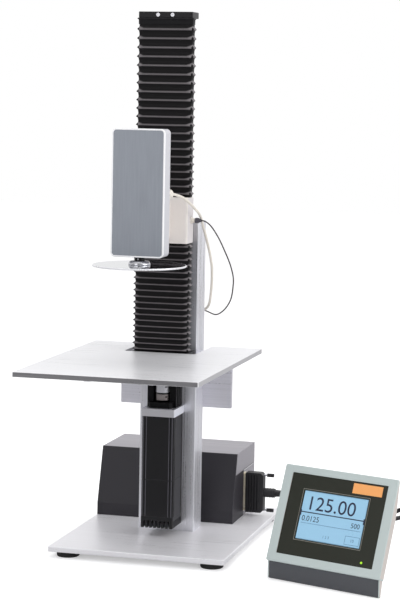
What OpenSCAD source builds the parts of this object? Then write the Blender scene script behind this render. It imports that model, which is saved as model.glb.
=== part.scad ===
// Bench universal testing machine: a spindle-driven carriage carries a load cell head
// with a compression disc over a fixed table, and a touch console stands beside it.
// Working frame: x = 0 on the spindle, y = 0 on the front face of the column, z = 0 on the bench.

/* [Base] */
// Width of the base plate
base_w = 300; // [280:5:330]
// Depth of the base plate
base_d = 410; // [400:5:440]
// Thickness of the base plate
base_t = 9; // [8:1:14]
// Distance from the front edge of the base plate to the column
base_front = 178; // [150:1:200]
// Height of a rubber foot
foot_h = 10; // [8:1:16]
// Diameter of a rubber foot
foot_d = 38; // [30:1:44]
// Distance from a foot's centre to the plate's edges
foot_inset = 27; // [24:1:40]

/* [Column and table] */
// Width of the column profile
column_w = 98; // [90:1:106]
// Depth of the column profile
column_d = 49; // [44:1:56]
// Height of the column above the base plate
column_h = 530; // [500:5:600]
// Wall of the column profile
column_wall = 4; // [3:0.5:6]
// Width of the table
table_w = 300; // [260:5:340]
// Distance from the table's front edge to the column
table_front = 351; // [300:1:380]
// Thickness of the table
table_t = 8; // [6:1:12]
// Height of the table's top above the base plate
table_h = 312; // [300:1:330]
// Width of the notch that clears the axis and the column
notch_w = 124; // [118:1:132]
// Width of the plate behind the column that carries the table
back_w = 198; // [180:1:220]
// Height of that plate
back_h = 97; // [85:1:105]
// Thickness of that plate
back_t = 8; // [6:1:10]
// Thickness of the table supports
support_t = 8; // [6:1:10]

/* [Linear axis] */
// Distance from the column to the spindle
screw_y = 29.5; // [29.5:0.5:31]
// Diameter of the ball screw
screw_d = 14; // [12:1:16]
// Diameter of the screw's bearing journals
journal_d = 12; // [8:1:12]
// Height of the guide rail
rail_h = 551; // [540:1:600]
// Width of the guide rail
rail_w = 60; // [58:1:62]
// Thickness of the plate between the column and the rail
axis_plate_t = 7; // [6:0.5:8]
// Width of the end plate on top of the axis
end_plate_w = 94; // [88:1:98]
// Thickness of the end plate
end_plate_t = 10.5; // [8:0.5:14]
// Height of the carriage's middle above the base plate, at rest
carriage_z = 535; // [500:1:600]

/* [Bellows] */
// Width of the bellows over the pleats
bellows_w = 98; // [94:1:102]
// Distance from the column to the front of the pleats
bellows_front = 51.5; // [50:0.5:56]
// Depth of a pleat
pleat_depth = 6.5; // [5:0.5:8.5]
// Wall of the bellows
bellows_wall = 1.2; // [0.8:0.1:1.5]
// Number of pleats above the carriage
upper_pleats = 21; // [16:1:26]
// Number of pleats below the carriage
lower_pleats = 18; // [14:1:22]

/* [Carriage and head] */
// Width of the carriage bracket
carriage_w = 94; // [88:1:98]
// Height of the carriage bracket
carriage_h = 77; // [70:1:84]
// Distance from the column to the bracket's front
carriage_front = 62; // [60:0.5:68]
// Distance from the column to the load axis
load_reach = 176; // [160:1:200]
// Width of the head
head_w = 88; // [80:1:100]
// Height of the head
head_h = 206; // [190:1:230]
// Depth of the head
head_d = 33; // [32:1:40]
// Height of the head's lower edge above the carriage's middle, as a negative distance
head_drop = -52; // [-60:1:-44]
// Radius of the head's corners
head_r = 7; // [4:1:12]
// Diameter of the compression disc
disc_d = 152; // [100:2:180]
// Thickness of the compression disc
disc_t = 3; // [2:0.5:5]
// Diameter of the disc's hub
hub_d = 36; // [30:1:44]
// Thickness of the disc's hub
hub_t = 7; // [4:0.5:10]
// Diameter of the collar above the disc
collar_d = 17; // [15:0.5:20]

/* [Drive] */
// Width of the motor
motor_w = 56; // [52:1:56]
// Height of the motor above its finned cap
motor_h = 170; // [150:1:175]
// Height of the motor's finned cap
cap_h = 19; // [14:1:20]
// Width of the motor flange
flange_w = 58; // [56:1:58]
// Thickness of the motor flange
flange_t = 13; // [10:1:14]
// Width of the bell housing
bell_w = 50; // [46:1:54]
// Diameter of the shaft coupling
coupling_d = 24.4; // [20:0.2:26]

/* [Control box] */
// Width of the control box
box_w = 247; // [220:1:250]
// Depth of the control box at its foot
box_d = 155; // [140:1:155]
// Height of the control box
box_h = 117.5; // [100:0.5:130]
// How far the front panel leans back
box_lean = 27; // [0:1:40]
// Height of the panel's upright foot
box_foot = 21.5; // [15:0.5:30]
// Sheet thickness of the box
box_wall = 2; // [1.5:0.5:3]
// Height of the connector's middle above the base plate
port_z = 42.3; // [40:0.1:60]
// Distance from the box's front foot to the connector
port_y = 81; // [50:1:110]

/* [Console] */
// Width of the console's frame
console_w = 208; // [190:1:220]
// Length of the console's sloping face
console_face = 156; // [140:1:170]
// Angle of the face from level
console_tilt = 69; // [55:0.5:75]
// Height of the face's lower edge above the bench
console_lift = 30; // [24:0.5:36]
// Thickness of the frame
frame_t = 14; // [12:1:20]
// Depth of the shell at its foot
shell_d = 88; // [80:1:110]
// Turn of the console about the upright
console_yaw = -20; // [-40:1:0]
// Width of the screen
screen_w = 116; // [100:1:120]
// Height of the screen
screen_h = 75.5; // [60:0.5:85]

/* [Hidden] */
$fn = 64;

// Clearances
fit = 0.05;
free = 0.3;
joint_gap = 0.2;
eps = 0.5;

// Heights above the bench
base_top = foot_h + base_t;
table_top = base_top + table_h;
table_under = table_top - table_t;
column_top = base_top + column_h;
carriage_mid = base_top + carriage_z;
carriage_top = carriage_mid + carriage_h / 2;
carriage_bottom = carriage_mid - carriage_h / 2;
cap_bottom = base_top + 15;
motor_bottom = cap_bottom + cap_h;
motor_top = motor_bottom + motor_h;
flange_top = motor_top + flange_t;
block_bottom = flange_top + 54.5;
lower_block_h = 27;
rail_bottom = block_bottom + lower_block_h;
rail_top = rail_bottom + rail_h;
upper_block_h = 22;
end_plate_z = rail_top + upper_block_h;
head_bottom = carriage_mid + head_drop;

// Depths, as distances in front of the column
rail_d = 30;
rail_front = axis_plate_t + rail_d;
channel_w = 41;
channel_floor = axis_plate_t + 5;
bellows_back = axis_plate_t + 0.6;
head_rear = load_reach - 16.5;
head_face = head_rear + head_d;
head_plate_t = 2.5;

// Guide rail and slide block
block_w = channel_w - 2 * 0.25;
block_h = 60;
block_front = 46;
nut_d = 26;
nut_flange_d = 31;
nut_flange_t = 8;
bearing_d = 32;
bearing_t = 10;
upper_bearing_d = 21;
upper_bearing_t = 5;

// Screws
m6 = 6;
m5 = 5;
screw_gap = 0.2;

// Console layout on its sloping face, measured from the middle of its lower edge
bezel_w = 175;
bezel_h = 130;
bezel_up = 79;
bezel_t = 2.5;
bezel_sink = 0.8;
screen_up = 80;
lamp_d = 3.6;
lamp_right = 66.7;
lamp_up = 21;
console_x = 320;
console_front = 230;
foot_inset_y = 4.3;
foot_t = 1.5;
shell_w = console_w - 8;
shell_rear_w = 84;
shell_lip = 2.5;
shell_drop = 52;
cheek_t = 2;
frame_lip = 2;
frame_bevel = 60;
pad_h = 1;
pad_d = 14;

// Control box
box_left = -149;
box_x = box_left + box_w / 2;
box_right = box_left + box_w;
box_front_y = base_d - base_front - box_d;
port_half = 31.2;
hood_l = 32.3;
hood_gap = 4.4;
boot_l = 30;

// Whole outline on the bench, used to centre the machine on its own footprint
face_run = console_face * cos(console_tilt);
left_x = -max(base_w, table_w) / 2;
right_x = console_x + max([for (c = [
    [console_w / 2, 0],
    [console_w / 2, face_run + frame_lip * sin(console_tilt)],
    [shell_rear_w / 2, shell_d]]) c[0] * cos(console_yaw) - c[1] * sin(console_yaw)]);
front_y = -table_front;
rear_y = base_d - base_front;
shift_x = -(left_x + right_x) / 2;
shift_y = -(front_y + rear_y) / 2;

// Cable routes: round-number points chosen by hand in the working frame for the sizes above.
// A change of size moves the ends with the pieces they join and spreads the move over the middle.
function stretched(p, a, b) = let (n = len(p) - 1) [for (i = [0 : n])
    let (s = min(1, max(0, (i - 4) / (n - 8)))) p[i] + (1 - s) * a + s * b];
gland_x = 36;
gland_z = carriage_mid + 48;
gland_places = [[22, table_top + 52], [0, table_top + 64]];
side_y = 40;
side_socket_l = 7;
carriage_move = [0, 0, carriage_mid - 554];
column_move = [0, column_d - 49, table_top - 331];
sensor_cable_d = 4.6;
sensor_route = stretched([[36, -144, 602], [36, -134, 602], [41, -125.5, 601], [48, -113, 597.5],
    [52.5, -99, 592.5], [56.5, -82, 584.5], [60, -64, 575], [62, -47, 567], [62, -29, 555.5], [62, -19, 544.5],
    [63, -7, 529.5], [64.5, 6, 510], [66, 16, 492], [66.5, 26, 472.5], [65.5, 32, 460.5], [63.5, 39, 442.5],
    [60, 47, 422.5], [56, 56, 408], [51, 64, 399], [45, 72, 394], [37, 80, 389], [29, 81, 385], [24, 75, 383],
    [22, 68, 383], [22, 62, 383]],
    carriage_move + [0, 159.5 - head_rear, 0], column_move);
side_cable_d = 2.3;
side_route = stretched([[64, -40, 554], [71, -39, 553], [81, -37, 545], [93, -33, 526], [102, -24, 503],
    [108, -10, 480], [110, 5, 457], [106, 20, 438], [99, 35, 417], [87, 50, 400], [74, 62, 389],
    [61, 74, 384], [43, 90, 387], [27, 95, 391], [12, 90, 394], [3, 80, 395], [0, 70, 395], [0, 62, 395]],
    carriage_move + [carriage_w / 2 - 47, 0, 0], column_move);
console_cable_d = 7;
console_route = stretched([[150, 158, 61.3], [164, 158, 61.3], [178, 157, 58], [193, 154, 50], [206, 148, 39],
    [220, 139, 27], [234, 126, 17], [248, 110, 9], [262, 90, 5], [276, 66, 4], [292, 42, 4], [308, 20, 5],
    [322, 0, 9], [336, -16, 18], [350, -30, 33], [366, -42, 53], [384, -51, 73], [404, -57, 90], [424,
        -61, 99],
    [440, -68, 102], [451, -80, 103], [455, -94, 103], [452, -110, 102], [442, -123, 101], [426, -133, 99],
    [411, -142, 96], [400, -151, 92], [393, -161, 90], [390, -170, 90]],
    [box_right - 98, box_front_y + port_y - 158, base_top + port_z - 61.3],
    [console_x - 320, 230 - console_front, 0]);

// Flat rectangle with round corners
module round_rect(w, d, r) {
    square([w - 2 * r, d], center = true);
    square([w, d - 2 * r], center = true);
    for (x = [-1, 1], y = [-1, 1])
        translate([x * (w / 2 - r), y * (d / 2 - r)]) circle(r);
}

// Section of a plate whose edges are rounded, standing on the x axis
module edge_section(w, t, e) {
    translate([0, t / 2]) square([w - 2 * e, t], center = true);
    translate([0, t / 2]) square([w, t - 2 * e], center = true);
    for (x = [-1, 1], y = [e, t - e])
        translate([x * (w / 2 - e), y]) circle(e, $fn = 24);
}

// Plate with round corners r and rounded edges e
module soft_plate(w, d, t, r, e) {
    rotate([90, 0, 0]) translate([0, 0, -(d / 2 - r)]) linear_extrude(d - 2 * r) edge_section(w, t, e);
    rotate([90, 0, 90]) translate([0, 0, -(w / 2 - r)]) linear_extrude(w - 2 * r) edge_section(d, t, e);
    for (x = [-1, 1], y = [-1, 1])
        translate([x * (w / 2 - r), y * (d / 2 - r), 0])
            rotate_extrude($fn = 48) intersection() {
                edge_section(2 * r, t, e);
                square([r, t]);
            }
}

// Box between two corners
module span(a, b) {
    translate(a) cube(b - a);
}

// Places a child on the sloping face of the console, with its own z out of the face
module on_face(right, up, out) {
    console_frame_place() translate([0, 0, console_lift]) rotate([console_tilt, 0, 0])
        translate([right, up, out]) children();
}

module console_frame_place() {
    translate([console_x, -console_front, 0]) rotate([0, 0, console_yaw]) children();
}

// Working frame to the machine's own frame
module settle() {
    translate([shift_x, shift_y, 0]) children();
}

foot_places = [for (x = [-1, 1], y = [0, 1])
    [x * (base_w / 2 - foot_inset), -base_front + foot_inset + y * (base_d - 2 * foot_inset)]];
column_bolts = [for (x = [-1, 1], y = [-1, 1])
    [x * (column_w / 2 - column_wall - 5), column_d / 2 + y * (column_d / 2 - column_wall - 5)]];

module base_plate() {
    color("gainsboro") settle() difference() {
        translate([0, base_d / 2 - base_front, foot_h]) soft_plate(base_w, base_d, base_t, 4, 1.5);
        for (p = foot_places)
            translate([p[0], p[1], foot_h - eps]) cylinder(h = base_t - 2 + eps, d = m6 + screw_gap);
        for (p = column_bolts) {
            translate([p[0], p[1], foot_h - eps]) cylinder(h = base_t + 2 * eps, d = m6 + screw_gap);
            translate([p[0], p[1], foot_h - eps]) cylinder(h = 4 + eps, d = 10.5);
        }
    }
}

// Rubber foot: rounded lower rim, a step under the plate and a pocket for the screw head
module rubber_foot(d, h, pocket_d, pocket_h) {
    rim = h / 5;
    difference() {
        rotate_extrude() {
            square([d / 2 - rim, h]);
            translate([0, rim]) square([d / 2, h - 2 * rim]);
            translate([d / 2 - rim, rim]) circle(rim, $fn = 24);
            square([d / 2 - 0.6 * rim, h]);
        }
        translate([0, 0, -eps]) cylinder(h = pocket_h + eps, d = pocket_d);
        translate([0, 0, -eps]) cylinder(h = h + 2 * eps, d = m6 + screw_gap);
    }
}

console_pads = [for (x = [-1, 1]) each
    [[x * (shell_w / 2 - 20), 16], [x * (shell_rear_w / 2 - 6), shell_d - 14]]];

module feet() {
    color("dimgray") settle() {
        for (p = foot_places)
            translate([p[0], p[1], 0]) rubber_foot(foot_d, foot_h, 13, 5);
        console_frame_place() for (p = console_pads)
            translate([p[0], p[1], 0]) cylinder(h = pad_h, d = pad_d);
    }
}

// Pan-head screw along +z, its head below z = 0
module cap_screw(d, length, head_d, head_h) {
    cylinder(h = length, d = d);
    difference() {
        translate([0, 0, -head_h]) cylinder(h = head_h, d = head_d);
        translate([0, 0, -head_h - eps]) cylinder(h = head_h / 2 + eps, d = d * 0.85, $fn = 6);
    }
}

module base_screws() {
    color("silver") settle() {
        for (p = foot_places)
            translate([p[0], p[1], 5]) cap_screw(m6, foot_h - 5 + base_t - 3, 11.5, 4);
        for (p = column_bolts)
            translate([p[0], p[1], foot_h + 4]) cap_screw(m6, base_t - 4 + 22, 10, 3.8);
    }
}

module column_section() {
    chamber_w = (column_w - 4 * column_wall) / 3;
    difference() {
        round_rect(column_w, column_d, 1.5);
        round_rect(chamber_w, column_d - 2 * column_wall, 2);
        for (x = [-1, 1]) difference() {
            translate([x * (chamber_w + column_wall), 0]) round_rect(chamber_w,
                column_d - 2 * column_wall, 2);
            for (y = [-1, 1])
                translate([x * (column_w / 2 - column_wall - 5), y * (column_d / 2 - column_wall - 5)])
                    circle(6);
        }
        for (x = [-1, 1], y = [-1, 1])
            translate([x * (column_w / 2 - column_wall - 5), y * (column_d / 2 - column_wall - 5)])
                circle(d = m6 + screw_gap);
    }
}

back_bolts = [for (x = [-35, 35], z = [24, 74]) [x, table_under - back_h + z]];
gland_d = 12;

module column() {
    color("lightgray") settle() difference() {
        translate([0, column_d / 2, base_top]) linear_extrude(column_h) column_section();
        for (p = back_bolts)
            translate([p[0], column_d - column_wall - eps, p[1]]) rotate([-90, 0, 0])
                cylinder(h = column_wall + 2 * eps, d = m6 + screw_gap);
        for (p = gland_places)
            translate([p[0], column_d - column_wall - eps, p[1]]) rotate([-90, 0, 0])
                cylinder(h = column_wall + 2 * eps, d = 8);
        for (x = [-1, 1], y = [12, 36])
            translate([x * (column_w / 2 + eps), y, table_under - 20]) rotate([0, -90 * x, 0])
                cylinder(h = column_wall + 2 * eps, d = m5 + screw_gap);
    }
}

module back_plate() {
    color("silver") settle() difference() {
        translate([0, column_d + back_t / 2, table_under - back_h / 2]) rotate([90, 0, 0])
            linear_extrude(back_t, center = true) round_rect(back_w, back_h, 1.5);
        for (p = back_bolts)
            translate([p[0], column_d - eps, p[1]]) rotate([-90, 0, 0])
                cylinder(h = back_t + 2 * eps, d = m6 + screw_gap);
    }
}

// One support is an angle: a tapered upright web against the column and a flat flange under the table
support_web = 46;
support_reach = 280;
flange_reach = 28;
support_flange_t = 6;
table_bolt_y = [-(support_reach - 30), -0.536 * support_reach, -60];

module table_supports() {
    color("silver") settle() for (x = [-1, 1]) mirror([x < 0 ? 1 : 0, 0, 0]) difference() {
        union() {
            translate([column_w / 2, 0, 0]) rotate([90, 0, 90]) linear_extrude(support_t)
                polygon([[column_d, table_under], [column_d, table_under - support_web],
                    [0, table_under - support_web], [-support_reach, table_under - 12],
                    [-support_reach, table_under]]);
            span([column_w / 2, -support_reach, table_under - support_flange_t],
                [column_w / 2 + flange_reach, column_d, table_under]);
        }
        for (y = table_bolt_y)
            translate([column_w / 2 + 19, y, table_under - support_flange_t - eps])
                cylinder(h = support_flange_t + 2 * eps, d = m5 + screw_gap);
        for (y = [12, 36])
            translate([column_w / 2 - eps, y, table_under - 20]) rotate([0, 90, 0])
                cylinder(h = support_t + 2 * eps, d = m5 + screw_gap);
    }
}

table_rear = column_d + back_t;
notch_front = bellows_front + 2.5;

module table_plate() {
    table_d = table_front + table_rear;
    color("whitesmoke") settle() difference() {
        translate([0, table_rear - table_d / 2, table_under]) soft_plate(table_w, table_d, table_t, 2.5, 0.6);
        translate([0, 0, table_under - eps]) linear_extrude(table_t + 2 * eps) {
            translate([-notch_w / 2, -notch_front + 5]) square([notch_w, notch_front + table_rear]);
            translate([-notch_w / 2 + 5, -notch_front]) square([notch_w - 10, notch_front]);
            for (x = [-1, 1]) translate([x * (notch_w / 2 - 5), -notch_front + 5]) circle(5);
        }
        for (x = [-1, 1], y = table_bolt_y)
            translate([x * (column_w / 2 + 19), y, table_under - eps])
                cylinder(h = table_t - 2 + eps, d = m5 + screw_gap);
    }
}

module table_screws() {
    color("dimgray") settle() {
        for (p = back_bolts)
            translate([p[0], column_d + back_t, p[1]]) rotate([90, 0, 0])
                cap_screw(m6, back_t + column_wall, 10, 5);
        for (x = [-1, 1], y = table_bolt_y)
            translate([x * (column_w / 2 + 19), y, table_under - support_flange_t])
                cap_screw(m5, support_flange_t + table_t - 3, 9, 4);
        for (x = [-1, 1], y = [12, 36])
            translate([x * (column_w / 2 + support_t), y, table_under - 20]) rotate([0, -90 * x, 0])
                cap_screw(m5, support_t + column_wall, 9, 4);
    }
}

module axis_plate() {
    color("dimgray") settle() translate([0, -axis_plate_t / 2, block_bottom])
        linear_extrude(rail_top - block_bottom) round_rect(rail_w + 14, axis_plate_t, 1);
}

module rail_section() {
    difference() {
        translate([-rail_w / 2, -rail_front]) square([rail_w, rail_d]);
        translate([-channel_w / 2, -rail_front - eps]) square([channel_w, rail_front - channel_floor + eps]);
        for (x = [-1, 1]) translate([x * channel_w / 2, -(rail_front + channel_floor) / 2]) circle(2.2);
        for (x = [-1, 1]) translate([x * rail_w / 2, -rail_front + 8]) circle(1.5);
    }
}

module guide_rail() {
    color("silver") settle() translate([0, 0, rail_bottom]) linear_extrude(rail_h) rail_section();
}

// Vertical cylinder on the spindle axis
module on_spindle(z, h, d) {
    translate([0, -screw_y, z]) cylinder(h = h, d = d);
}

lower_bearing_z = block_bottom + 6;
upper_bearing_z = rail_top + 6;
frame_d = bellows_front - bellows_back;

module lower_bearing_block() {
    color("black") settle() difference() {
        union() {
            span([-rail_w / 2, -bellows_front + 2, block_bottom], [rail_w / 2, -axis_plate_t, rail_bottom]);
            translate([0, -bellows_back - frame_d / 2, rail_bottom])
                linear_extrude(table_top - rail_bottom) round_rect(bellows_w, frame_d, 2);
        }
        span([-rail_w / 2 - joint_gap, -rail_front - joint_gap, rail_bottom],
            [rail_w / 2 + joint_gap, 0, table_top + eps]);
        on_spindle(block_bottom - eps, lower_block_h + 2 * eps, journal_d + 4);
        on_spindle(lower_bearing_z, lower_block_h, bearing_d + fit);
    }
}

module upper_bearing_block() {
    color("black") settle() difference() {
        span([-36, -bellows_front + pleat_depth + 2, rail_top], [36, -axis_plate_t, end_plate_z]);
        on_spindle(rail_top - eps, upper_block_h, journal_d + 4);
        on_spindle(rail_top - eps, 6 + upper_bearing_t + eps, upper_bearing_d + fit);
    }
}

// Ball bearing as its two rings joined by the shielded ball track, with a groove in each face
module bearing(outer, inner, t) {
    difference() {
        cylinder(h = t, d = outer);
        translate([0, 0, -eps]) cylinder(h = t + 2 * eps, d = inner + 2 * fit);
        for (z = [-eps, t - 1]) translate([0, 0, z]) difference() {
            cylinder(h = 1 + eps, d = outer - 3);
            translate([0, 0, -eps]) cylinder(h = 2 + 2 * eps, d = inner + 3);
        }
    }
}

module screw_bearings() {
    color("silver") settle() translate([0, -screw_y, 0]) {
        translate([0, 0, lower_bearing_z]) bearing(bearing_d, journal_d, bearing_t);
        translate([0, 0, upper_bearing_z]) bearing(upper_bearing_d, journal_d, upper_bearing_t);
    }
}

end_plate_d = 40;
plate_screw_x = 12.5;

module end_plate() {
    color("black") settle() difference() {
        translate([0, -bellows_front + end_plate_d / 2, end_plate_z])
            soft_plate(end_plate_w, end_plate_d, end_plate_t, 3, 1);
        for (x = [-1, 1]) translate([x * plate_screw_x, -bellows_front - eps, end_plate_z + end_plate_t / 2])
            rotate([-90, 0, 0]) cylinder(h = 14, d = 4.2);
    }
}

module end_plate_screws() {
    color("silver") settle() for (x = [-1, 1])
        translate([x * plate_screw_x, -bellows_front, end_plate_z + end_plate_t / 2]) rotate([-90, 0, 0])
            cap_screw(4, 12, 6.5, 1.2);
}

// Height of ridge or valley i of n pleats: the share of length grows upward, because the
// upper pleats carry the weight of the ones below
function pleat_z(z0, length, n, growth, i) =
    let (u = i / n) z0 + length * (u + growth * u * (u - 1));

// Zigzag edge from bottom to top: a valley at each whole number and a ridge halfway
function zigzag(z0, length, n, growth, ridge, valley) =
    [for (i = [0 : 0.5 : n]) [i == floor(i) ? valley : ridge, pleat_z(z0, length, n, growth, i)]];

function mirrored(points) =
    [for (i = [len(points) - 1 : -1 : 0]) [-points[i][0], points[i][1]]];

// Solid whose sides and front follow the zigzag; the two extrusions meet in mitred corners
module pleated_solid(z0, length, n, growth, half_w, depth_out, inset, back) {
    side = zigzag(z0, length, n, growth, half_w - inset, half_w - pleat_depth - inset);
    front = zigzag(z0, length, n, growth, -(depth_out - inset), -(depth_out - pleat_depth - inset));
    intersection() {
        rotate([90, 0, 0]) translate([0, 0, -eps]) linear_extrude(depth_out + 2 * eps)
            polygon(concat(side, mirrored(side)));
        rotate([90, 0, 90]) translate([0, 0, -half_w - eps]) linear_extrude(2 * half_w + 2 * eps)
            polygon(concat(front, [[back, z0 + length], [back, z0]]));
    }
}

module bellows(z0, length, n, growth) {
    difference() {
        pleated_solid(z0, length, n, growth, bellows_w / 2, bellows_front, 0, -bellows_back);
        pleated_solid(z0, length, n, growth, bellows_w / 2, bellows_front, bellows_wall, 0);
    }
}

bellows_collar = 11;

module upper_bellows() {
    color("black") settle() {
        bellows(carriage_top, end_plate_z - bellows_collar - carriage_top, upper_pleats, 0.14);
        difference() {
            translate([0, -bellows_back - frame_d / 2, end_plate_z - bellows_collar])
                linear_extrude(bellows_collar) round_rect(bellows_w - 2, frame_d - 2, 2);
            span([-36 - joint_gap, -bellows_front + pleat_depth + 2 - joint_gap,
                end_plate_z - bellows_collar - eps],
                [36 + joint_gap, 0, end_plate_z + eps]);
        }
    }
}

module lower_bellows() {
    color("black") settle() bellows(table_top, carriage_bottom - table_top, lower_pleats, 0.1);
}

screw_tail = 25;
screw_nut_d = 20;

module ball_screw() {
    color("silver") settle() {
        on_spindle(block_bottom - screw_tail, lower_block_h + screw_tail + eps, journal_d);
        on_spindle(block_bottom - 7, 6, screw_nut_d);
        on_spindle(rail_bottom, rail_h, screw_d);
        on_spindle(rail_top - eps, upper_block_h - 4, journal_d);
    }
}

module ball_nut() {
    color("dimgray") settle() difference() {
        union() {
            on_spindle(carriage_mid - block_h / 2, 48, nut_d);
            on_spindle(carriage_mid - block_h / 2 - nut_flange_t, nut_flange_t, nut_flange_d);
        }
        on_spindle(carriage_mid - block_h, 2 * block_h, screw_d + 2 * fit);
    }
}

module slide_block() {
    groove_y = (rail_front + channel_floor) / 2;
    color("gray") settle() difference() {
        union() {
            span([-block_w / 2, -block_front, carriage_mid - block_h / 2],
                [block_w / 2, -channel_floor - 0.25, carriage_mid + block_h / 2]);
            for (x = [-1, 1]) translate([x * channel_w / 2, -groove_y, carriage_mid - block_h / 2])
                cylinder(h = block_h, r = 1.8);
        }
        on_spindle(carriage_mid - block_h / 2 - eps, 48 + eps, nut_d + fit);
        on_spindle(carriage_mid, block_h, screw_d + 2);
    }
}

bracket_wall = 11;
arm_bolts = [for (x = [-11, 11], z = [-20, 20]) [x, z]];
arm_w = 34;
arm_h = 60;

module carriage_bracket() {
    depth = carriage_front - 24;
    cavity_half = rail_w / 2 + 1;
    color("linen") settle() difference() {
        translate([0, -carriage_front + depth / 2, carriage_bottom])
            soft_plate(carriage_w, depth, carriage_h, 4, 1.5);
        span([-cavity_half, -block_front, carriage_bottom - eps], [cavity_half, 0, carriage_top + eps]);
        for (p = arm_bolts)
            translate([p[0], -carriage_front - eps, carriage_mid + p[1]]) rotate([-90, 0, 0])
                cylinder(h = carriage_front - block_front + 2 * eps, d = m6 + screw_gap);
        translate([carriage_w / 2 - 6, -side_y, carriage_mid]) rotate([0, 90, 0])
            cylinder(h = 8, d = 5 + screw_gap);
    }
}

module carriage_screws() {
    color("silver") settle() for (p = arm_bolts)
        translate([p[0], -carriage_front - 8, carriage_mid + p[1]]) rotate([-90, 0, 0])
            cap_screw(m6, carriage_front - block_front + 7.5, 10, 5);
}

arm_in = head_rear - head_plate_t;
shelf_z = carriage_mid + 50;
shelf_t = 12;
cell_t = 18;
cell_w = 50;
cell_h = 62;
cell_bottom = shelf_z - cell_h;

module head_arm() {
    plate_t = 4.3;
    color("linen") settle() difference() {
        union() {
            translate([0, -(carriage_front + head_rear) / 2, carriage_mid]) rotate([90, 0, 0])
                linear_extrude(head_rear - carriage_front, center = true) round_rect(arm_w, arm_h, 4);
            span([-24, -head_rear - head_plate_t - plate_t, carriage_mid - arm_h / 2],
                [24, -head_rear - head_plate_t, shelf_z + shelf_t]);
            span([-arm_w / 2 + 4, -head_rear - head_plate_t - eps, carriage_mid - arm_h / 2],
                [arm_w / 2 - 4, -head_rear + eps, carriage_mid + arm_h / 2]);
            span([-24, -head_face + head_plate_t + 2, shelf_z], [24, -head_rear - head_plate_t,
                shelf_z + shelf_t]);
        }
        for (p = arm_bolts) {
            translate([p[0], -carriage_front - 8, carriage_mid + p[1]]) rotate([-90, 0, 0])
                cylinder(h = 8 + eps, d = m6 + screw_gap);
            translate([p[0], -head_rear - 20, carriage_mid + p[1]]) rotate([-90, 0, 0])
                cylinder(h = 20 + head_rear - carriage_front - 8, d = 10.6);
        }
        translate([0, -load_reach, shelf_z - eps]) cylinder(h = shelf_t + 2 * eps, d = 8.4);
    }
}

module head_outline(inset) {
    round_rect(head_w - 2 * inset, head_h - 2 * inset, head_r - inset);
}

module head_at(reach) {
    translate([0, -reach, head_bottom + head_h / 2]) rotate([90, 0, 0]) children();
}

shell_wall = 3;
boss_places = [for (x = [-1, 1], z = [-1, 1]) [x * (head_w / 2 - 8), z * (head_h / 2 - 8)]];
shell_depth = head_d - 2 * head_plate_t;

module head_shell() {
    color("white") settle() difference() {
        head_at(head_rear + head_plate_t) linear_extrude(shell_depth) difference() {
            head_outline(0);
            difference() {
                head_outline(shell_wall);
                for (p = boss_places) translate(p) circle(5.5);
            }
            for (p = boss_places) translate(p) circle(d = 3.4);
        }
        translate([0, -load_reach, head_bottom - eps]) cylinder(h = shell_wall + 2 * eps, d = collar_d + 2);
    }
}

module head_front() {
    color("lightsteelblue") settle() head_at(head_rear + head_plate_t + shell_depth)
        linear_extrude(head_plate_t) head_outline(0);
}

module head_back() {
    color("white") settle() difference() {
        head_at(head_rear) linear_extrude(head_plate_t) difference() {
            head_outline(0);
            for (p = boss_places) translate(p) circle(d = 3.4);
        }
        translate([0, -head_rear, carriage_mid]) cube([arm_w - 8 + 0.4, 20, arm_h + 0.4], center = true);
        translate([gland_x, -head_rear + eps, gland_z]) rotate([90, 0, 0])
            cylinder(h = head_plate_t + 2 * eps, d = 8.2);
    }
}

// S-shaped load cell: a block with two horizontal slots that leave three beams
module load_cell() {
    color("silver") settle() difference() {
        span([-cell_w / 2, -load_reach - cell_t / 2, cell_bottom], [cell_w / 2, -load_reach + cell_t / 2,
            shelf_z]);
        span([-cell_w / 2 + 12, -load_reach - cell_t, cell_bottom + 13], [cell_w / 2 + eps,
            -load_reach + cell_t, cell_bottom + 17]);
        span([-cell_w / 2 - eps, -load_reach - cell_t, shelf_z - 17], [cell_w / 2 - 12,
            -load_reach + cell_t, shelf_z - 13]);
        for (x = [-6, 6]) translate([x, -load_reach, (cell_bottom + shelf_z) / 2]) rotate([90, 0, 0])
            cylinder(h = 2 * cell_t, d = 16, center = true);
        translate([0, -load_reach, cell_bottom - eps]) cylinder(h = 11, d = 8 + screw_gap);
        translate([0, -load_reach, shelf_z - 10]) cylinder(h = 11, d = 8 + screw_gap);
    }
}

collar_top = head_bottom + 2;
collar_h = 8;
disc_top = collar_top - collar_h - hub_t;

module spindle() {
    color("silver") settle() {
        translate([0, -load_reach, collar_top - collar_h])
            cylinder(h = cell_bottom - collar_top + collar_h + 9, d = 8);
        translate([0, -load_reach, cell_bottom - 6]) cylinder(h = 6, d = 14, $fn = 6);
        translate([0, -load_reach, shelf_z - 9]) cylinder(h = shelf_t + 9, d = 8);
        translate([0, -load_reach, shelf_z + shelf_t]) cylinder(h = 6, d = 14, $fn = 6);
    }
}

module collar() {
    color("black") settle() difference() {
        translate([0, -load_reach, collar_top - collar_h]) cylinder(h = collar_h, d = collar_d);
        translate([0, -load_reach, collar_top - collar_h - eps])
            cylinder(h = collar_h + 2 * eps, d = 8 + fit);
        translate([0, -load_reach, collar_top - collar_h + 2.6]) rotate([90, 0, 0])
            cylinder(h = collar_d, d = 3);
    }
}

module disc_hub() {
    color("silver") settle() translate([0, -load_reach, disc_top]) rotate_extrude($fn = 96) {
        square([hub_d / 2, hub_t - 1.5]);
        square([hub_d / 2 - 1.5, hub_t]);
        translate([hub_d / 2 - 1.5, hub_t - 1.5]) circle(1.5, $fn = 24);
    }
}

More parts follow.
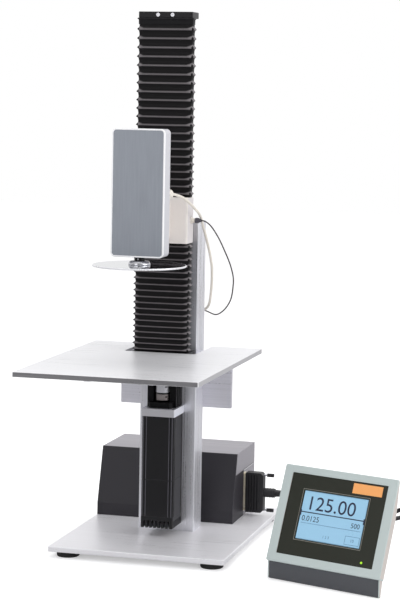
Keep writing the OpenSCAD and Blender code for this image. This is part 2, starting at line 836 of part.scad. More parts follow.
module compression_disc() {
    color("lightcyan") settle() translate([0, -load_reach, disc_top - disc_t]) rotate_extrude($fn = 128) {
        square([disc_d / 2 - disc_t / 2, disc_t]);
        translate([disc_d / 2 - disc_t / 2, disc_t / 2]) circle(disc_t / 2, $fn = 24);
    }
}

// Cable gland along +z: thread, hexagon and domed nut
module cable_gland(bore, d, length) {
    difference() {
        union() {
            translate([0, 0, -4]) cylinder(h = 5, d = 8);
            cylinder(h = 4, d = d * 1.15, $fn = 6);
            rotate_extrude() {
                square([d / 2, length - 2]);
                square([d / 2 - 2, length]);
                translate([d / 2 - 2, length - 2]) circle(2, $fn = 24);
            }
        }
        translate([0, 0, -4 - eps]) cylinder(h = length + 4 + 2 * eps, d = bore);
    }
}

module head_gland() {
    color("linen") settle() translate([gland_x, -head_rear, gland_z]) rotate([-90, 0, 0])
        cable_gland(sensor_cable_d + 0.4, 16, 24.5);
}

// Cable glands in the column's rear wall and the plugs that close its chambers at the top
module column_fittings() {
    chamber_w = (column_w - 4 * column_wall) / 3;
    color("dimgray") settle() {
        for (i = [0, 1])
            translate([gland_places[i][0], column_d, gland_places[i][1]]) rotate([-90, 0, 0])
                cable_gland([sensor_cable_d, side_cable_d][i] + 0.4, gland_d, 15);
        for (x = [-1, 0, 1]) translate([x * (chamber_w + column_wall), column_d / 2, column_top - 6])
            linear_extrude(6) difference() {
                round_rect(chamber_w - joint_gap, column_d - 2 * column_wall - joint_gap, 2);
                for (y = [-1, 1])
                    translate([x * (column_w / 2 - column_wall - 5 - chamber_w - column_wall),
                        y * (column_d / 2 - column_wall - 5)])
                        circle(abs(x) * 6.2);
            }
    }
}

module side_socket() {
    color("wheat") settle() translate([carriage_w / 2, -side_y, carriage_mid]) rotate([0, 90, 0]) {
        translate([0, 0, -5]) cylinder(h = 5 + eps, d = 5);
        cylinder(h = 2, d = 11, $fn = 6);
        cylinder(h = side_socket_l, d = 8);
    }
}

module side_plug() {
    color("black") settle() translate([carriage_w / 2 + side_socket_l, -side_y, carriage_mid])
        rotate([0, 90, 0]) difference() {
        union() {
            cylinder(h = 7, d = 8.4);
            cylinder(h = 11, d = 5.6);
            for (a = [0 : 30 : 330]) rotate([0, 0, a]) translate([4.1, 0, 0.8])
                cylinder(h = 5, r = 0.5, $fn = 16);
        }
        translate([0, 0, 4]) cylinder(h = 10, d = side_cable_d + 0.4);
    }
}

// Lantern between motor and axis: an open channel with grooved sides and a flange at its foot
bell_foot = 9.5;
bell_front = screw_y + 7.5;
bell_channel = 29;

module bell_housing() {
    color("black") settle() difference() {
        union() {
            translate([0, 0, flange_top]) linear_extrude(block_bottom - flange_top) difference() {
                translate([-bell_w / 2, -bell_front]) square([bell_w, bell_front - 1]);
                for (x = [-1, 1], y = [10, 19])
                    translate([x * bell_w / 2, -bell_front + y]) circle(2.2);
            }
            translate([0, -screw_y, flange_top]) linear_extrude(bell_foot)
                polygon([[-20.5, -17], [-17, -20.5],
                [17, -20.5], [20.5, -17], [20.5, 20.5], [-20.5, 20.5]]);
        }
        span([-bell_channel / 2, -screw_y - 30, flange_top + bell_foot], [bell_channel / 2,
            -screw_y + bell_channel / 2, block_bottom - 4]);
        on_spindle(flange_top - eps, 70, screw_nut_d + 1);
    }
}

hub_gap = 0.15;
motor_half_z = flange_top + 12;
spider_z = motor_half_z + 10;
screw_half_z = spider_z + 3;

// Clamp hub with a bore, a clamping slit and a cross screw hole
module coupling_hub(h, bore) {
    difference() {
        cylinder(h = h, d = coupling_d);
        translate([0, 0, -eps]) cylinder(h = h + 2 * eps, d = bore);
        translate([0, -0.5, h * 0.25]) cube([coupling_d, 1, h]);
        translate([8, 0, h * 0.6]) rotate([90, 0, 0]) cylinder(h = 2 * coupling_d, d = 3, center = true);
    }
}

module coupling_screw_half() {
    color("silver") settle() translate([0, -screw_y, screw_half_z]) coupling_hub(16, journal_d);
}

module coupling_spider() {
    color("darkslategray") settle() translate([0, -screw_y, spider_z]) linear_extrude(3) difference() {
        circle(d = coupling_d - 1);
        for (a = [0 : 90 : 270]) rotate([0, 0, a]) translate([8, -1]) square([10, 2]);
        circle(d = 7);
    }
}

module coupling_motor_half() {
    color("gray") settle() translate([0, -screw_y, motor_half_z]) coupling_hub(10, 8);
}

module motor_flange() {
    color("silver") settle() difference() {
        translate([0, -screw_y, motor_top]) linear_extrude(flange_t) round_rect(flange_w, flange_w, 2);
        on_spindle(motor_top - eps, flange_t + 2 * eps, 22);
        for (x = [-1, 1], y = [-1, 1]) translate([x * 23, -screw_y + y * 23, flange_top - 5])
            cylinder(h = 6, d = 5);
    }
}

// Motor section: a square with chamfered corners and two grooves near the ends of each side
module motor_section() {
    c = 3;
    h = motor_w / 2;
    difference() {
        polygon([[-h + c, -h], [h - c, -h], [h, -h + c], [h, h - c], [h - c, h], [-h + c, h], [-h,
            h - c], [-h, -h + c]]);
        for (a = [0 : 90 : 270], x = [-1, 1]) rotate([0, 0, a]) translate([x * (h - 7), -h])
            square([2.5, 3.6], center = true);
    }
}

rotor_d = 34;

module motor_body() {
    seam = motor_bottom + 62;
    color("black") settle() difference() {
        translate([0, -screw_y, motor_bottom]) linear_extrude(motor_h) motor_section();
        on_spindle(motor_bottom - eps, motor_h - 20, rotor_d + 1);
        on_spindle(motor_bottom, motor_h + eps, 8 + 2 * fit);
        translate([0, -screw_y, seam]) linear_extrude(1) difference() {
            square(motor_w + 2, center = true);
            square(motor_w - 1.4, center = true);
        }
    }
}

module motor_cap() {
    slots = 7;
    color("black") settle() difference() {
        translate([0, -screw_y, cap_bottom]) linear_extrude(cap_h) round_rect(motor_w, motor_w, 3);
        for (i = [0 : slots - 1]) {
            x = (i - (slots - 1) / 2) * motor_w / (slots + 1);
            translate([x, -screw_y, cap_bottom + 5]) cube([3.4, motor_w + 2, 14], center = true);
        }
        for (s = [-1, 1], i = [0 : slots - 1]) {
            y = (i - (slots - 1) / 2) * motor_w / (slots + 1);
            translate([s * motor_w / 2, -screw_y + y, cap_bottom + 5]) cube([12, 3.4, 14], center = true);
        }
    }
}

module rotor_shaft() {
    color("silver") settle() {
        on_spindle(motor_bottom + 25, motor_h - 20 + flange_t, 8);
        on_spindle(motor_bottom + 20, 110, rotor_d);
    }
}

// Side outline of the box, with the front moved back by a set distance
function box_outline(back) = [[box_front_y + back, base_top], [box_front_y + back, base_top + box_foot],
    [box_front_y + box_lean + back, base_top + box_h]];

module along_box(w) {
    translate([box_x, 0, 0]) rotate([90, 0, 90]) linear_extrude(w, center = true) children();
}

module box_base() {
    rear = box_front_y + box_d;
    color("dimgray") settle() {
        along_box(box_w) polygon(concat(box_outline(0), [for (i = [2, 1, 0]) box_outline(3)[i]]));
        along_box(box_w - 2 * box_wall - 2 * joint_gap) {
            translate([box_front_y + 2, base_top]) square([box_d - 2, box_wall]);
            translate([rear - box_wall, base_top]) square([box_wall, box_h - box_wall - joint_gap]);
        }
    }
}

port_x = box_right;
port_mid = base_top + port_z;
port_depth = box_front_y + port_y;

module box_cover() {
    rear = box_front_y + box_d;
    top = base_top + box_h;
    color("darkgray") settle() difference() {
        along_box(box_w) polygon(concat(box_outline(3), [[rear, top], [rear, base_top]]));
        along_box(box_w - 2 * box_wall) polygon([[box_front_y - eps, base_top - eps],
            [box_front_y - eps, top - box_wall], [rear + eps, top - box_wall], [rear + eps, base_top - eps]]);
        translate([port_x, port_depth, port_mid]) cube([20, 10, 56], center = true);
        for (z = [-1, 1]) translate([port_x - 8, port_depth, port_mid + z * port_half]) rotate([0, 90, 0])
            cylinder(h = 12, d = 6);
    }
}

// Metal shells of the connector: the socket with its jack nuts on the box, and the plug's flange
module port_socket() {
    color("silver") settle() translate([port_x, port_depth, port_mid]) rotate([90, 0, 90]) difference() {
        union() {
            linear_extrude(1) round_rect(12.5, 69.3, 1.5);
            translate([0, 0, -9]) linear_extrude(9 + eps) square([9, 54], center = true);
            linear_extrude(hood_gap - 0.8) round_rect(8.4, 53, 2);
            translate([0, 0, hood_gap - 0.8]) linear_extrude(0.8) round_rect(12.5, 69.3, 1.5);
            for (z = [-1, 1]) translate([0, z * port_half, 0.5]) cylinder(h = hood_gap - 1, d = 5.6, $fn = 6);
        }
        for (z = [-1, 1]) translate([0, z * port_half, -eps]) cylinder(h = hood_gap + 1, r = 1.65);
    }
}

module port_hood() {
    half = 35.3;
    c = 4.5;
    y = 9;
    color("black") settle() translate([port_x + hood_gap, port_depth, port_mid]) difference() {
        rotate([90, 0, 0]) linear_extrude(2 * y, center = true)
            polygon([[0, -half + 1], [1, -half], [hood_l - c, -half],
            [hood_l, -half + c], [hood_l, half - c], [hood_l - c, half], [1, half], [0, half - 1]]);
        for (i = [0 : 4], s = [-1, 1]) translate([8 + i * 4.5, s * y, 0])
            cube([1.2, 1.2, 2 * half + 2], center = true);
        for (z = [-1, 1]) translate([-eps, 0, z * port_half]) rotate([0, 90, 0])
            cylinder(h = hood_l + 2 * eps, r = 1.65);
    }
}

knob_gap = 5.4;
knob_l = 12;
knob_d = 6.4;

// Knurled knob on a thin captive shank
module thumbscrew(side) {
    start = hood_gap + hood_l + knob_gap;
    color("black") settle() translate([port_x, port_depth, port_mid + side * port_half]) rotate([0, 90, 0]) {
        translate([0, 0, -3]) cylinder(h = start + 6, r = 1.6);
        translate([0, 0, start]) difference() {
            cylinder(h = knob_l, d = knob_d);
            for (a = [0 : 30 : 330]) rotate([0, 0, a]) translate([knob_d / 2 + 0.2, 0, 1.5])
                cylinder(h = knob_l - 3, r = 0.6, $fn = 16);
            translate([0, 0, knob_l - 1.5]) cube([10, 1.2, 4], center = true);
        }
    }
}

module upper_thumbscrew() {
    thumbscrew(1);
}

module lower_thumbscrew() {
    thumbscrew(-1);
}

module cable_boot() {
    color("black") settle() translate([port_x + hood_gap + hood_l, port_depth, port_mid])
        rotate([0, 90, 0]) difference() {
        rotate_extrude() {
            polygon([[0, 0], [8, 0], [8, boot_l * 0.66], [6.4, boot_l * 0.68], [5.6, boot_l], [0, boot_l]]);
            for (i = [1 : 3]) translate([0, i * 5]) square([8.4, 2]);
        }
        translate([0, 0, 4]) cylinder(h = boot_l, d = console_cable_d + 0.4);
    }
}

// Outline of the console's shell from the side: depth behind the face's lower edge, and height
shell_inset = foot_inset_y + foot_t;
shell_reach = console_face - shell_drop;
function under_frame(d) = console_lift - d / tan(console_tilt);
function shell_outline(inset) = let (s = sin(console_tilt), c = cos(console_tilt)) [
    [shell_inset + inset, pad_h + inset],
    [shell_inset + inset, under_frame(shell_inset + inset)],
    [frame_t * s, console_lift - frame_t * c],
    [shell_reach * c + frame_t * s, console_lift + shell_reach * s - frame_t * c],
    [shell_reach * c + frame_t * s + 4 - inset, console_lift + shell_reach * s - frame_t * c - inset],
    [shell_d - inset, pad_h + inset]];

module shell_plan(inset) {
    lip = shell_inset + shell_lip;
    polygon([[-shell_w / 2 + inset, 0], [shell_w / 2 - inset, 0], [shell_w / 2 - inset, lip],
        [shell_rear_w / 2 - inset, shell_d],
        [-shell_rear_w / 2 + inset, shell_d], [-shell_w / 2 + inset, lip]]);
}

module shell_solid(inset) {
    intersection() {
        rotate([90, 0, 90]) linear_extrude(2 * console_w, center = true) polygon(shell_outline(inset));
        linear_extrude(console_lift + console_face) shell_plan(inset);
    }
}

socket_right = 45;
socket_up = 90;
shell_top_z = console_lift + shell_reach * sin(console_tilt) - frame_t * cos(console_tilt);
shell_top_d = shell_reach * cos(console_tilt) + frame_t * sin(console_tilt) + 4;

// Depth of the shell's leaning rear wall at a height
function rear_at(z) = shell_d - (shell_d - shell_top_d) * (z - pad_h) / (shell_top_z - pad_h);

socket_back = rear_at(socket_up - 8) + joint_gap - 12;

module console_shell() {
    color("lightgray") settle() console_frame_place() difference() {
        shell_solid(0);
        shell_solid(2.5);
        translate([socket_right, shell_d - 30, socket_up]) rotate([-90, 0, 0]) cylinder(h = 40, d = 12.4);
    }
}

// Dark front panel under the face
module console_foot() {
    color("slategray") settle() console_frame_place() rotate([90, 0, 90])
        linear_extrude(shell_w - 1, center = true) polygon([[foot_inset_y, pad_h], [foot_inset_y,
            under_frame(foot_inset_y)],
            [shell_inset, under_frame(shell_inset)], [shell_inset, pad_h]]);
}

// Face plate, thin along its upper edge, with a cheek down to the bench on each side
module console_frame() {
    s = sin(console_tilt);
    c = cos(console_tilt);
    color("lightgray") settle() {
        difference() {
            on_face(0, console_face / 2, -frame_t) soft_plate(console_w, console_face, frame_t, 3, 1.5);
            on_face(0, bezel_up, -bezel_t - bezel_sink) linear_extrude(frame_t)
                round_rect(bezel_w + joint_gap, bezel_h + joint_gap, 1);
            on_face(0, screen_up, -9.6) linear_extrude(frame_t)
                square([screen_w + 12, screen_h + 12], center = true);
            console_frame_place() translate([0, 0, console_lift]) rotate([console_tilt, 0, 0])
                rotate([90, 0, 90])
                linear_extrude(2 * console_w, center = true) polygon([[console_face - frame_bevel,
                    -frame_t - 1],
                    [console_face - frame_bevel, -frame_t], [console_face + 1, -frame_lip],
                        [console_face + 1, -frame_t - 1]]);
        }
        console_frame_place() for (x = [-1, 1])
            translate([x * (shell_w / 2 + joint_gap + cheek_t / 2), 0, 0]) rotate([90, 0, 90])
                linear_extrude(cheek_t, center = true) polygon([[foot_inset_y, pad_h], [foot_inset_y,
                    under_frame(foot_inset_y) + eps],
                    [frame_t * s, console_lift - frame_t * c + eps], [foot_inset_y + 3, pad_h]]);
    }
}

module screen_bezel() {
    color("black") settle() difference() {
        on_face(0, bezel_up, -bezel_t - bezel_sink) linear_extrude(bezel_t) round_rect(bezel_w, bezel_h, 1);
        on_face(-1, screen_up, -frame_t) linear_extrude(2 * frame_t)
            round_rect(screen_w + 2, screen_h + 2, 1);
        on_face(lamp_right, lamp_up, -frame_t) cylinder(h = 2 * frame_t, d = lamp_d + joint_gap);
    }
}

module screen() {
    color("lightblue") settle() {
        on_face(-1, screen_up, -bezel_sink - 1.5) linear_extrude(1)
            square([screen_w, screen_h], center = true);
        on_face(-1, screen_up, -bezel_sink - bezel_t - 6) linear_extrude(6)
            square([screen_w + 8, screen_h + 8], center = true);
        on_face(-1, screen_up, -bezel_sink - bezel_t - 1) linear_extrude(2)
            square([screen_w, screen_h], center = true);
    }
}

module status_lamp() {
    color("yellowgreen") settle() on_face(lamp_right, lamp_up, -bezel_sink - bezel_t)
        cylinder(h = bezel_t + 0.6, d = lamp_d);
}

module console_socket() {
    color("dimgray") settle() console_frame_place() translate([socket_right, socket_back, socket_up])
        rotate([-90, 0, 0]) difference() {
        union() {
            cylinder(h = 22, d = 12);
            translate([0, 0, 12]) cylinder(h = 12, d = 16);
            translate([0, 0, 24]) cylinder(h = 8, d = 12);
        }
        translate([0, 0, 22]) cylinder(h = 12, d = console_cable_d + 0.4);
    }
}

// Cable as one closed tube swept along its route
function unit(v) = v / norm(v);
function smooth_point(p, i, t) = let (n = len(p) - 1, a = p[max(i - 1, 0)], b = p[i], c = p[min(i + 1,
    n)], d = p[min(i + 2, n)])
    0.5 * (2 * b + (c - a) * t + (2 * a - 5 * b + 4 * c - d) * t * t + (3 * b - a - 3 * c + d) * t * t * t);
function direction(p, k) = unit(p[min(k + 1, len(p) - 1)] - p[max(k - 1, 0)]);

module tube(route, d, sides) {
    n = len(route);
    rings = [for (k = [0 : n - 1]) let (
        t = direction(route, k),
        u = unit(cross(t, abs(t[2]) > 0.9 ? [1, 0, 0] : [0, 0, 1])),
        v = cross(t, u))
        for (s = [0 : sides - 1]) route[k] + d / 2 * (cos(360 * s / sides) * u + sin(360 * s / sides) * v)];
    walls = [for (k = [0 : n - 2], s = [0 : sides - 1]) let (
        a = k * sides + s, b = k * sides + (s + 1) % sides)
        each [[a, b, a + sides], [b, b + sides, a + sides]]];
    first = [for (s = [sides - 1 : -1 : 0]) s];
    last = [for (s = [0 : sides - 1]) (n - 1) * sides + s];
    polyhedron(points = rings, faces = concat(walls, [first, last]), convexity = 6);
}

module sensor_cable() {
    color("linen") settle() tube(sensor_route, sensor_cable_d, 8);
}

module side_cable() {
    color("black") settle() tube(side_route, side_cable_d, 8);
}

module console_cable() {
    color("black") settle() tube(console_route, console_cable_d, 8);
}

base_plate();
feet();
base_screws();
column();
back_plate();
table_supports();
table_plate();
table_screws();
axis_plate();
guide_rail();
lower_bearing_block();
upper_bearing_block();
screw_bearings();
end_plate();
end_plate_screws();
upper_bellows();
lower_bellows();
ball_screw();
ball_nut();
slide_block();
carriage_bracket();
carriage_screws();
head_arm();
head_shell();
head_front();
head_back();
load_cell();
spindle();
collar();
disc_hub();
compression_disc();
head_gland();
side_socket();
side_plug();
bell_housing();
coupling_screw_half();
coupling_spider();
coupling_motor_half();
motor_flange();
motor_body();
motor_cap();
rotor_shaft();
box_base();
box_cover();
port_socket();
port_hood();
upper_thumbscrew();
lower_thumbscrew();
cable_boot();
console_shell();
console_foot();
console_frame();
screen_bezel();
screen();
status_lamp();
console_socket();
column_fittings();
sensor_cable();
side_cable();
console_cable();
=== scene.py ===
# %% [markdown]
# # Bench testing machine
# The solids of the machine are loaded as they are. They could be modelled again here, but then
# two shapes would have to be kept alike. So this script only dresses them with surfaces, folds
# the bellows, lays the cables, adds small trim, and lights everything on a pale bench.
# Sizes are in millimetres in the machine's working frame: x = 0 on the spindle, y = 0 on the
# front face of the column, z = 0 on the bench. `place` turns them into the loaded frame's metres.

import math

import bpy
import numpy as np
from mathutils import Matrix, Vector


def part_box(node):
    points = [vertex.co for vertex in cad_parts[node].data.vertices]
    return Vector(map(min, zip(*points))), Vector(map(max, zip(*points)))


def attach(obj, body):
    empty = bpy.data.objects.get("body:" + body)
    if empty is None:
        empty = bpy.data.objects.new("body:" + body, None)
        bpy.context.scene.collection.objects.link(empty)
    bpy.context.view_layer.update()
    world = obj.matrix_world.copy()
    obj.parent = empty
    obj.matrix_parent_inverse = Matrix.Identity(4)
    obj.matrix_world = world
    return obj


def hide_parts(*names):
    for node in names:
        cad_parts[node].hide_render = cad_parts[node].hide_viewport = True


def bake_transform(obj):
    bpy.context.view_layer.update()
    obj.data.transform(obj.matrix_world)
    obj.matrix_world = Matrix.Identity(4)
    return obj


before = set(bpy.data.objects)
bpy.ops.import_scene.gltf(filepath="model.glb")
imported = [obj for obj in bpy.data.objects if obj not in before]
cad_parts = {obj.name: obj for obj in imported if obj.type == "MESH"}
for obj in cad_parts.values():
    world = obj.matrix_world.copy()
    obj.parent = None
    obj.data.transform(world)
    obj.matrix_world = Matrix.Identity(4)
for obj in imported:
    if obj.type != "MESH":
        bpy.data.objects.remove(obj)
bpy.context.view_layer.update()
rng = np.random.default_rng(7)
print("solids loaded:", len(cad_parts))

# %% [markdown]
# ## The working frame
# The loaded frame has its own origin. It could be typed in as a number, but it is worked out from
# the compression disc instead, which hangs on the spindle one reach in front of the column, so
# that the script still fits when the machine's sizes change.

# %% Working frame
LOAD_REACH = 176.0
disc_low, disc_high = (np.array(corner, dtype=float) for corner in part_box("compression_disc"))
disc_centre = (disc_low + disc_high) / 2
ORIGIN = np.array([disc_centre[0], disc_centre[1] + LOAD_REACH / 1000, 0.0])


def place(points):
    """Working millimetres to metres in the loaded frame."""
    return np.asarray(points, dtype=float) / 1000 + ORIGIN


def node_span(node):
    """Lowest and highest corner of a solid in working millimetres."""
    low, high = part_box(node)
    return (np.array(low) - ORIGIN) * 1000, (np.array(high) - ORIGIN) * 1000


def blend_between(piece):
    """Bakes a piece's placement into its points."""
    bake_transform(piece)


print("spindle axis stands at", np.round(ORIGIN, 4), "m")

# %% [markdown]
# ## Camera
# The camera stands as the photograph's did: far off to the right with a long lens, turned
# 14 degrees round the machine. The photograph is cropped, so the picture is shifted instead of
# the camera being turned, which would bend the upright lines.

# %% Camera
CAMERA_AT = (912.2, -3133.8, 770.3)
AZIMUTH, ELEVATION, ROLL = (math.radians(a) for a in (14.33, 2.99, 1.05))
LENS_PIXELS = 1924.95
SHIFT_PIXELS = (-35.01, -107.91)
LONG_SIDE = 600
SENSOR = 36

back = np.array([
    math.sin(AZIMUTH) * math.cos(ELEVATION),
    -math.cos(AZIMUTH) * math.cos(ELEVATION),
    math.sin(ELEVATION),
])
level = np.cross([0, 0, 1], back)
level /= np.linalg.norm(level)
upward = np.cross(back, level)

camera_data = bpy.data.cameras.new("camera")
camera_data.sensor_width = SENSOR
camera_data.lens = SENSOR * LENS_PIXELS / LONG_SIDE
camera_data.shift_x = SHIFT_PIXELS[0] / LONG_SIDE
camera_data.shift_y = SHIFT_PIXELS[1] / LONG_SIDE
camera_data.clip_end = 60
camera = bpy.data.objects.new("camera", camera_data)
bpy.context.collection.objects.link(camera)
pose = np.eye(4)
pose[:3, 0] = math.cos(ROLL) * level + math.sin(ROLL) * upward
pose[:3, 1] = -math.sin(ROLL) * level + math.cos(ROLL) * upward
pose[:3, 2] = back
pose[:3, 3] = place(CAMERA_AT)
camera.matrix_world = Matrix(pose.tolist())
bpy.context.scene.camera = camera
print("camera lens", round(camera_data.lens, 1), "mm")

# %% [markdown]
# ## Surfaces as grids
# Every made piece is a grid of points: rows along one parameter and columns along another,
# stitched into quads. Blender's own primitives could be bent into most of these shapes, but a
# grid gives each point a formula, and one function does the stitching for all of them.


# %% Grid meshes
def add_mesh(name, points, faces, material=None, smooth=True):
    """A mesh object at the origin from working millimetres."""
    name = name.replace(" ", "_")
    mesh = bpy.data.meshes.new(name)
    mesh.from_pydata(place(points).tolist(), [], faces)
    mesh.polygons.foreach_set("use_smooth", np.full(len(mesh.polygons), smooth))
    mesh.update()
    obj = bpy.data.objects.new(name, mesh)
    bpy.context.collection.objects.link(obj)
    if material:
        mesh.materials.append(material)
    return obj


def grid_mesh(name, grid, material=None, wrap=False, caps=False, smooth=True):
    """Stitches a rows x columns x 3 grid: each quad joins a point, the next one in its row, and
    the two above those. wrap closes each row on itself, caps close the first and last row."""
    rows, columns = grid.shape[:2]
    index = np.arange(rows * columns).reshape(rows, columns)
    ahead = np.roll(index, -1, axis=1)
    last = columns if wrap else columns - 1
    quads = np.stack([index[:-1, :last], ahead[:-1, :last], ahead[1:, :last], index[1:, :last]], axis=-1)
    faces = quads.reshape(-1, 4).tolist()
    if caps:
        faces += [index[0, ::-1].tolist(), index[-1].tolist()]
    return add_mesh(name, grid.reshape(-1, 3), faces, material, smooth)


print("helpers for grids:", add_mesh.__name__, "and", grid_mesh.__name__)

# %% [markdown]
# ## Tubes along a path
# A cable is a circle carried along a smooth path. A bevelled curve would do it too; rings worked
# out here keep their points in step with the path.


# %% Tubes
def along(route, step=4.0):
    """Even points on the smooth curve through the given ones. Each stretch is the cubic whose
    slope at a point is half the way from its neighbour before to its neighbour after; it is
    worked out at 24 places, and the whole curve is then spaced evenly by its length."""
    route = np.asarray(route, dtype=float)
    ends = np.vstack([2 * route[0] - route[1], route, 2 * route[-1] - route[-2]])
    a, b, c, d = (ends[k:len(ends) - 3 + k, None, :] for k in range(4))
    t = np.linspace(0, 1, 24, endpoint=False)[None, :, None]
    fine = 0.5 * (2 * b + (c - a) * t + (2 * a - 5 * b + 4 * c - d) * t**2
                  + (3 * b - a - 3 * c + d) * t**3)
    fine = np.vstack([fine.reshape(-1, 3), route[-1]])
    distance = np.concatenate([[0], np.cumsum(np.linalg.norm(np.diff(fine, axis=0), axis=1))])
    even = np.linspace(0, distance[-1], max(2, int(distance[-1] / step)))
    return np.stack([np.interp(even, distance, fine[:, k]) for k in range(3)], axis=1)


def tube(name, path, diameter, material, sides=14):
    """Round tube along a path. Each ring's frame is the one before it, turned as little as the
    path turns, so that the tube never twists."""
    tangent = np.gradient(path, axis=0)
    tangent /= np.linalg.norm(tangent, axis=1)[:, None]
    side = np.cross(tangent[0], [0, 0, 1.0])
    side /= np.linalg.norm(side)
    angle = np.linspace(0, 2 * math.pi, sides, endpoint=False)
    rings = []
    for p, t in zip(path, tangent):
        side = side - t * (side @ t)
        side /= np.linalg.norm(side)
        around = np.outer(np.cos(angle), side) + np.outer(np.sin(angle), np.cross(t, side))
        rings.append(p + diameter / 2 * around)
    return grid_mesh(name, np.array(rings), material, wrap=True, caps=True)


print("a straight route of 100 mm gets", len(along([(0, 0, 0), (100, 0, 0)])), "points")

# %% [markdown]
# ## Shared surface effects
# Real metal and plastic are never even: gloss is mottled, brushed plates have lines, and edges
# catch the light. Each of these three could be wired into every material, but as node groups
# they are built once, and every finish uses them with its own values. The helpers below make
# groups and the small nodes in them.


# %% Node helpers
def new_group(name, inputs, outputs):
    """An empty node group with named sockets; returns it with its input and output nodes."""
    group = bpy.data.node_groups.new(name, "ShaderNodeTree")
    for label, kind, value in inputs:
        socket = group.interface.new_socket(label, in_out="INPUT", socket_type=kind)
        socket.default_value = value
    for label, kind in outputs:
        group.interface.new_socket(label, in_out="OUTPUT", socket_type=kind)
    return group, group.nodes.new("NodeGroupInput"), group.nodes.new("NodeGroupOutput")


def math_node(tree, operation, a, b, clamp=False):
    """A maths node fed by sockets or numbers; returns its output."""
    node = tree.nodes.new("ShaderNodeMath")
    node.operation = operation
    node.use_clamp = clamp
    for i, value in enumerate((a, b)):
        if isinstance(value, (int, float)):
            node.inputs[i].default_value = value
        else:
            tree.links.new(value, node.inputs[i])
    return node.outputs[0]


def noise_node(tree, scale, detail, vector):
    """Noise around zero on the given coordinates."""
    noise = tree.nodes.new("ShaderNodeTexNoise")
    noise.inputs["Scale"].default_value = scale
    noise.inputs["Detail"].default_value = detail
    tree.links.new(vector, noise.inputs["Vector"])
    return math_node(tree, "SUBTRACT", noise.outputs["Fac"], 0.5)


print("node helpers:", [helper.__name__ for helper in (new_group, math_node, noise_node)])

# %% [markdown]
# Mottling is the cloudiness that handling leaves on paint and metal, and grain the fine lines of
# rolling or brushing. Both could be pictures laid over the surface; noise on object coordinates
# needs no picture, shows no seam, and stays put when a piece moves.

# %% Mottling and grain
CLOUDS, SPECKS = (9.0, 0.6), (420.0, 0.4)


def mottle_group():
    """Value around zero: large soft clouds plus fine specks, on object coordinates."""
    group, source, sink = new_group(
        "mottle", [("Amount", "NodeSocketFloat", 0.1)], [("Value", "NodeSocketFloat")])
    coords = group.nodes.new("ShaderNodeTexCoord").outputs["Object"]
    parts = [math_node(group, "MULTIPLY", noise_node(group, scale, 3, coords), weight)
             for scale, weight in (CLOUDS, SPECKS)]
    value = math_node(group, "MULTIPLY", math_node(group, "ADD", *parts), source.outputs["Amount"])
    group.links.new(value, sink.inputs["Value"])
    return group


def grain_group():
    """Brushed grain: noise squeezed along two axes, so that it runs as lines along the third."""
    group, source, sink = new_group(
        "grain", [("Stretch", "NodeSocketVector", (1.0, 1.0, 1.0))], [("Value", "NodeSocketFloat")])
    coords = group.nodes.new("ShaderNodeTexCoord")
    scaled = group.nodes.new("ShaderNodeVectorMath")
    scaled.operation = "MULTIPLY"
    group.links.new(coords.outputs["Object"], scaled.inputs[0])
    group.links.new(source.outputs["Stretch"], scaled.inputs[1])
    group.links.new(noise_node(group, 1.0, 4, scaled.outputs[0]), sink.inputs["Value"])
    return group


MOTTLE, GRAIN = mottle_group(), grain_group()
print("groups:", MOTTLE.name, "and", GRAIN.name)

# %% [markdown]
# No real edge is sharp: a narrow band along it catches the light. The solids'
# edges could be bevelled, which changes their shape; the bevel node rounds only the shading, and
# where its normal leaves the face's own it also tells how near an edge is, so that this band can be
# painted lighter as a highlight.

# %% Soft edges
EDGE_RADIUS = 0.0006
GRAIN_HEIGHT = 0.0002
MASK_GAIN = 4.0


def edge_group():
    """Normal with softened edges, and a mask that is high where the surface turns: one minus the
    cosine between the softened normal and the face's own, times the gain."""
    group, source, sink = new_group(
        "soft edges", [("Height", "NodeSocketFloat", 0.0), ("Depth", "NodeSocketFloat", 0.0)],
        [("Normal", "NodeSocketVector"), ("Mask", "NodeSocketFloat")])
    bump = group.nodes.new("ShaderNodeBump")
    bump.inputs["Distance"].default_value = GRAIN_HEIGHT
    bevel = group.nodes.new("ShaderNodeBevel")
    bevel.samples = 4
    bevel.inputs["Radius"].default_value = EDGE_RADIUS
    geometry = group.nodes.new("ShaderNodeNewGeometry")
    dot = group.nodes.new("ShaderNodeVectorMath")
    dot.operation = "DOT_PRODUCT"
    group.links.new(bevel.outputs[0], dot.inputs[0])
    group.links.new(geometry.outputs["Normal"], dot.inputs[1])
    bend = math_node(group, "SUBTRACT", 1.0, dot.outputs["Value"])
    group.links.new(math_node(group, "MULTIPLY", bend, MASK_GAIN, clamp=True), sink.inputs["Mask"])
    group.links.new(source.outputs["Height"], bump.inputs["Height"])
    group.links.new(source.outputs["Depth"], bump.inputs["Strength"])
    group.links.new(bevel.outputs[0], bump.inputs["Normal"])
    group.links.new(bump.outputs[0], sink.inputs["Normal"])
    return group


EDGES = edge_group()
print("group:", EDGES.name)

# %% [markdown]
# ## Colours and mixes
# A colour is easiest to note as it looks on a screen, from 0 to 255, while Blender's sockets count
# light itself. It could be picked by hand in the colour field; a formula gives the same each time.


# %% Colours and mixes
def use_group(tree, group):
    """Puts a node group into a material."""
    node = tree.nodes.new("ShaderNodeGroup")
    node.node_tree = group
    return node


def srgb(*values):
    """Screen colour from 0 to 255 as a linear one."""
    return tuple((v / 255 / 12.92) if v < 10.3 else ((v / 255 + 0.055) / 1.055)**2.4 for v in values)


def tinted(tree, base, colour, factor):
    """Mixes a fixed colour into a socket's colour as far as the factor says."""
    mix = tree.nodes.new("ShaderNodeMix")
    mix.data_type = "RGBA"
    mix.inputs["B"].default_value = (*colour, 1)
    tree.links.new(factor, mix.inputs["Factor"])
    tree.links.new(base, mix.inputs["A"])
    return mix.outputs["Result"]


print("mid grey 128 is", round(srgb(128)[0], 3), "as a linear value")

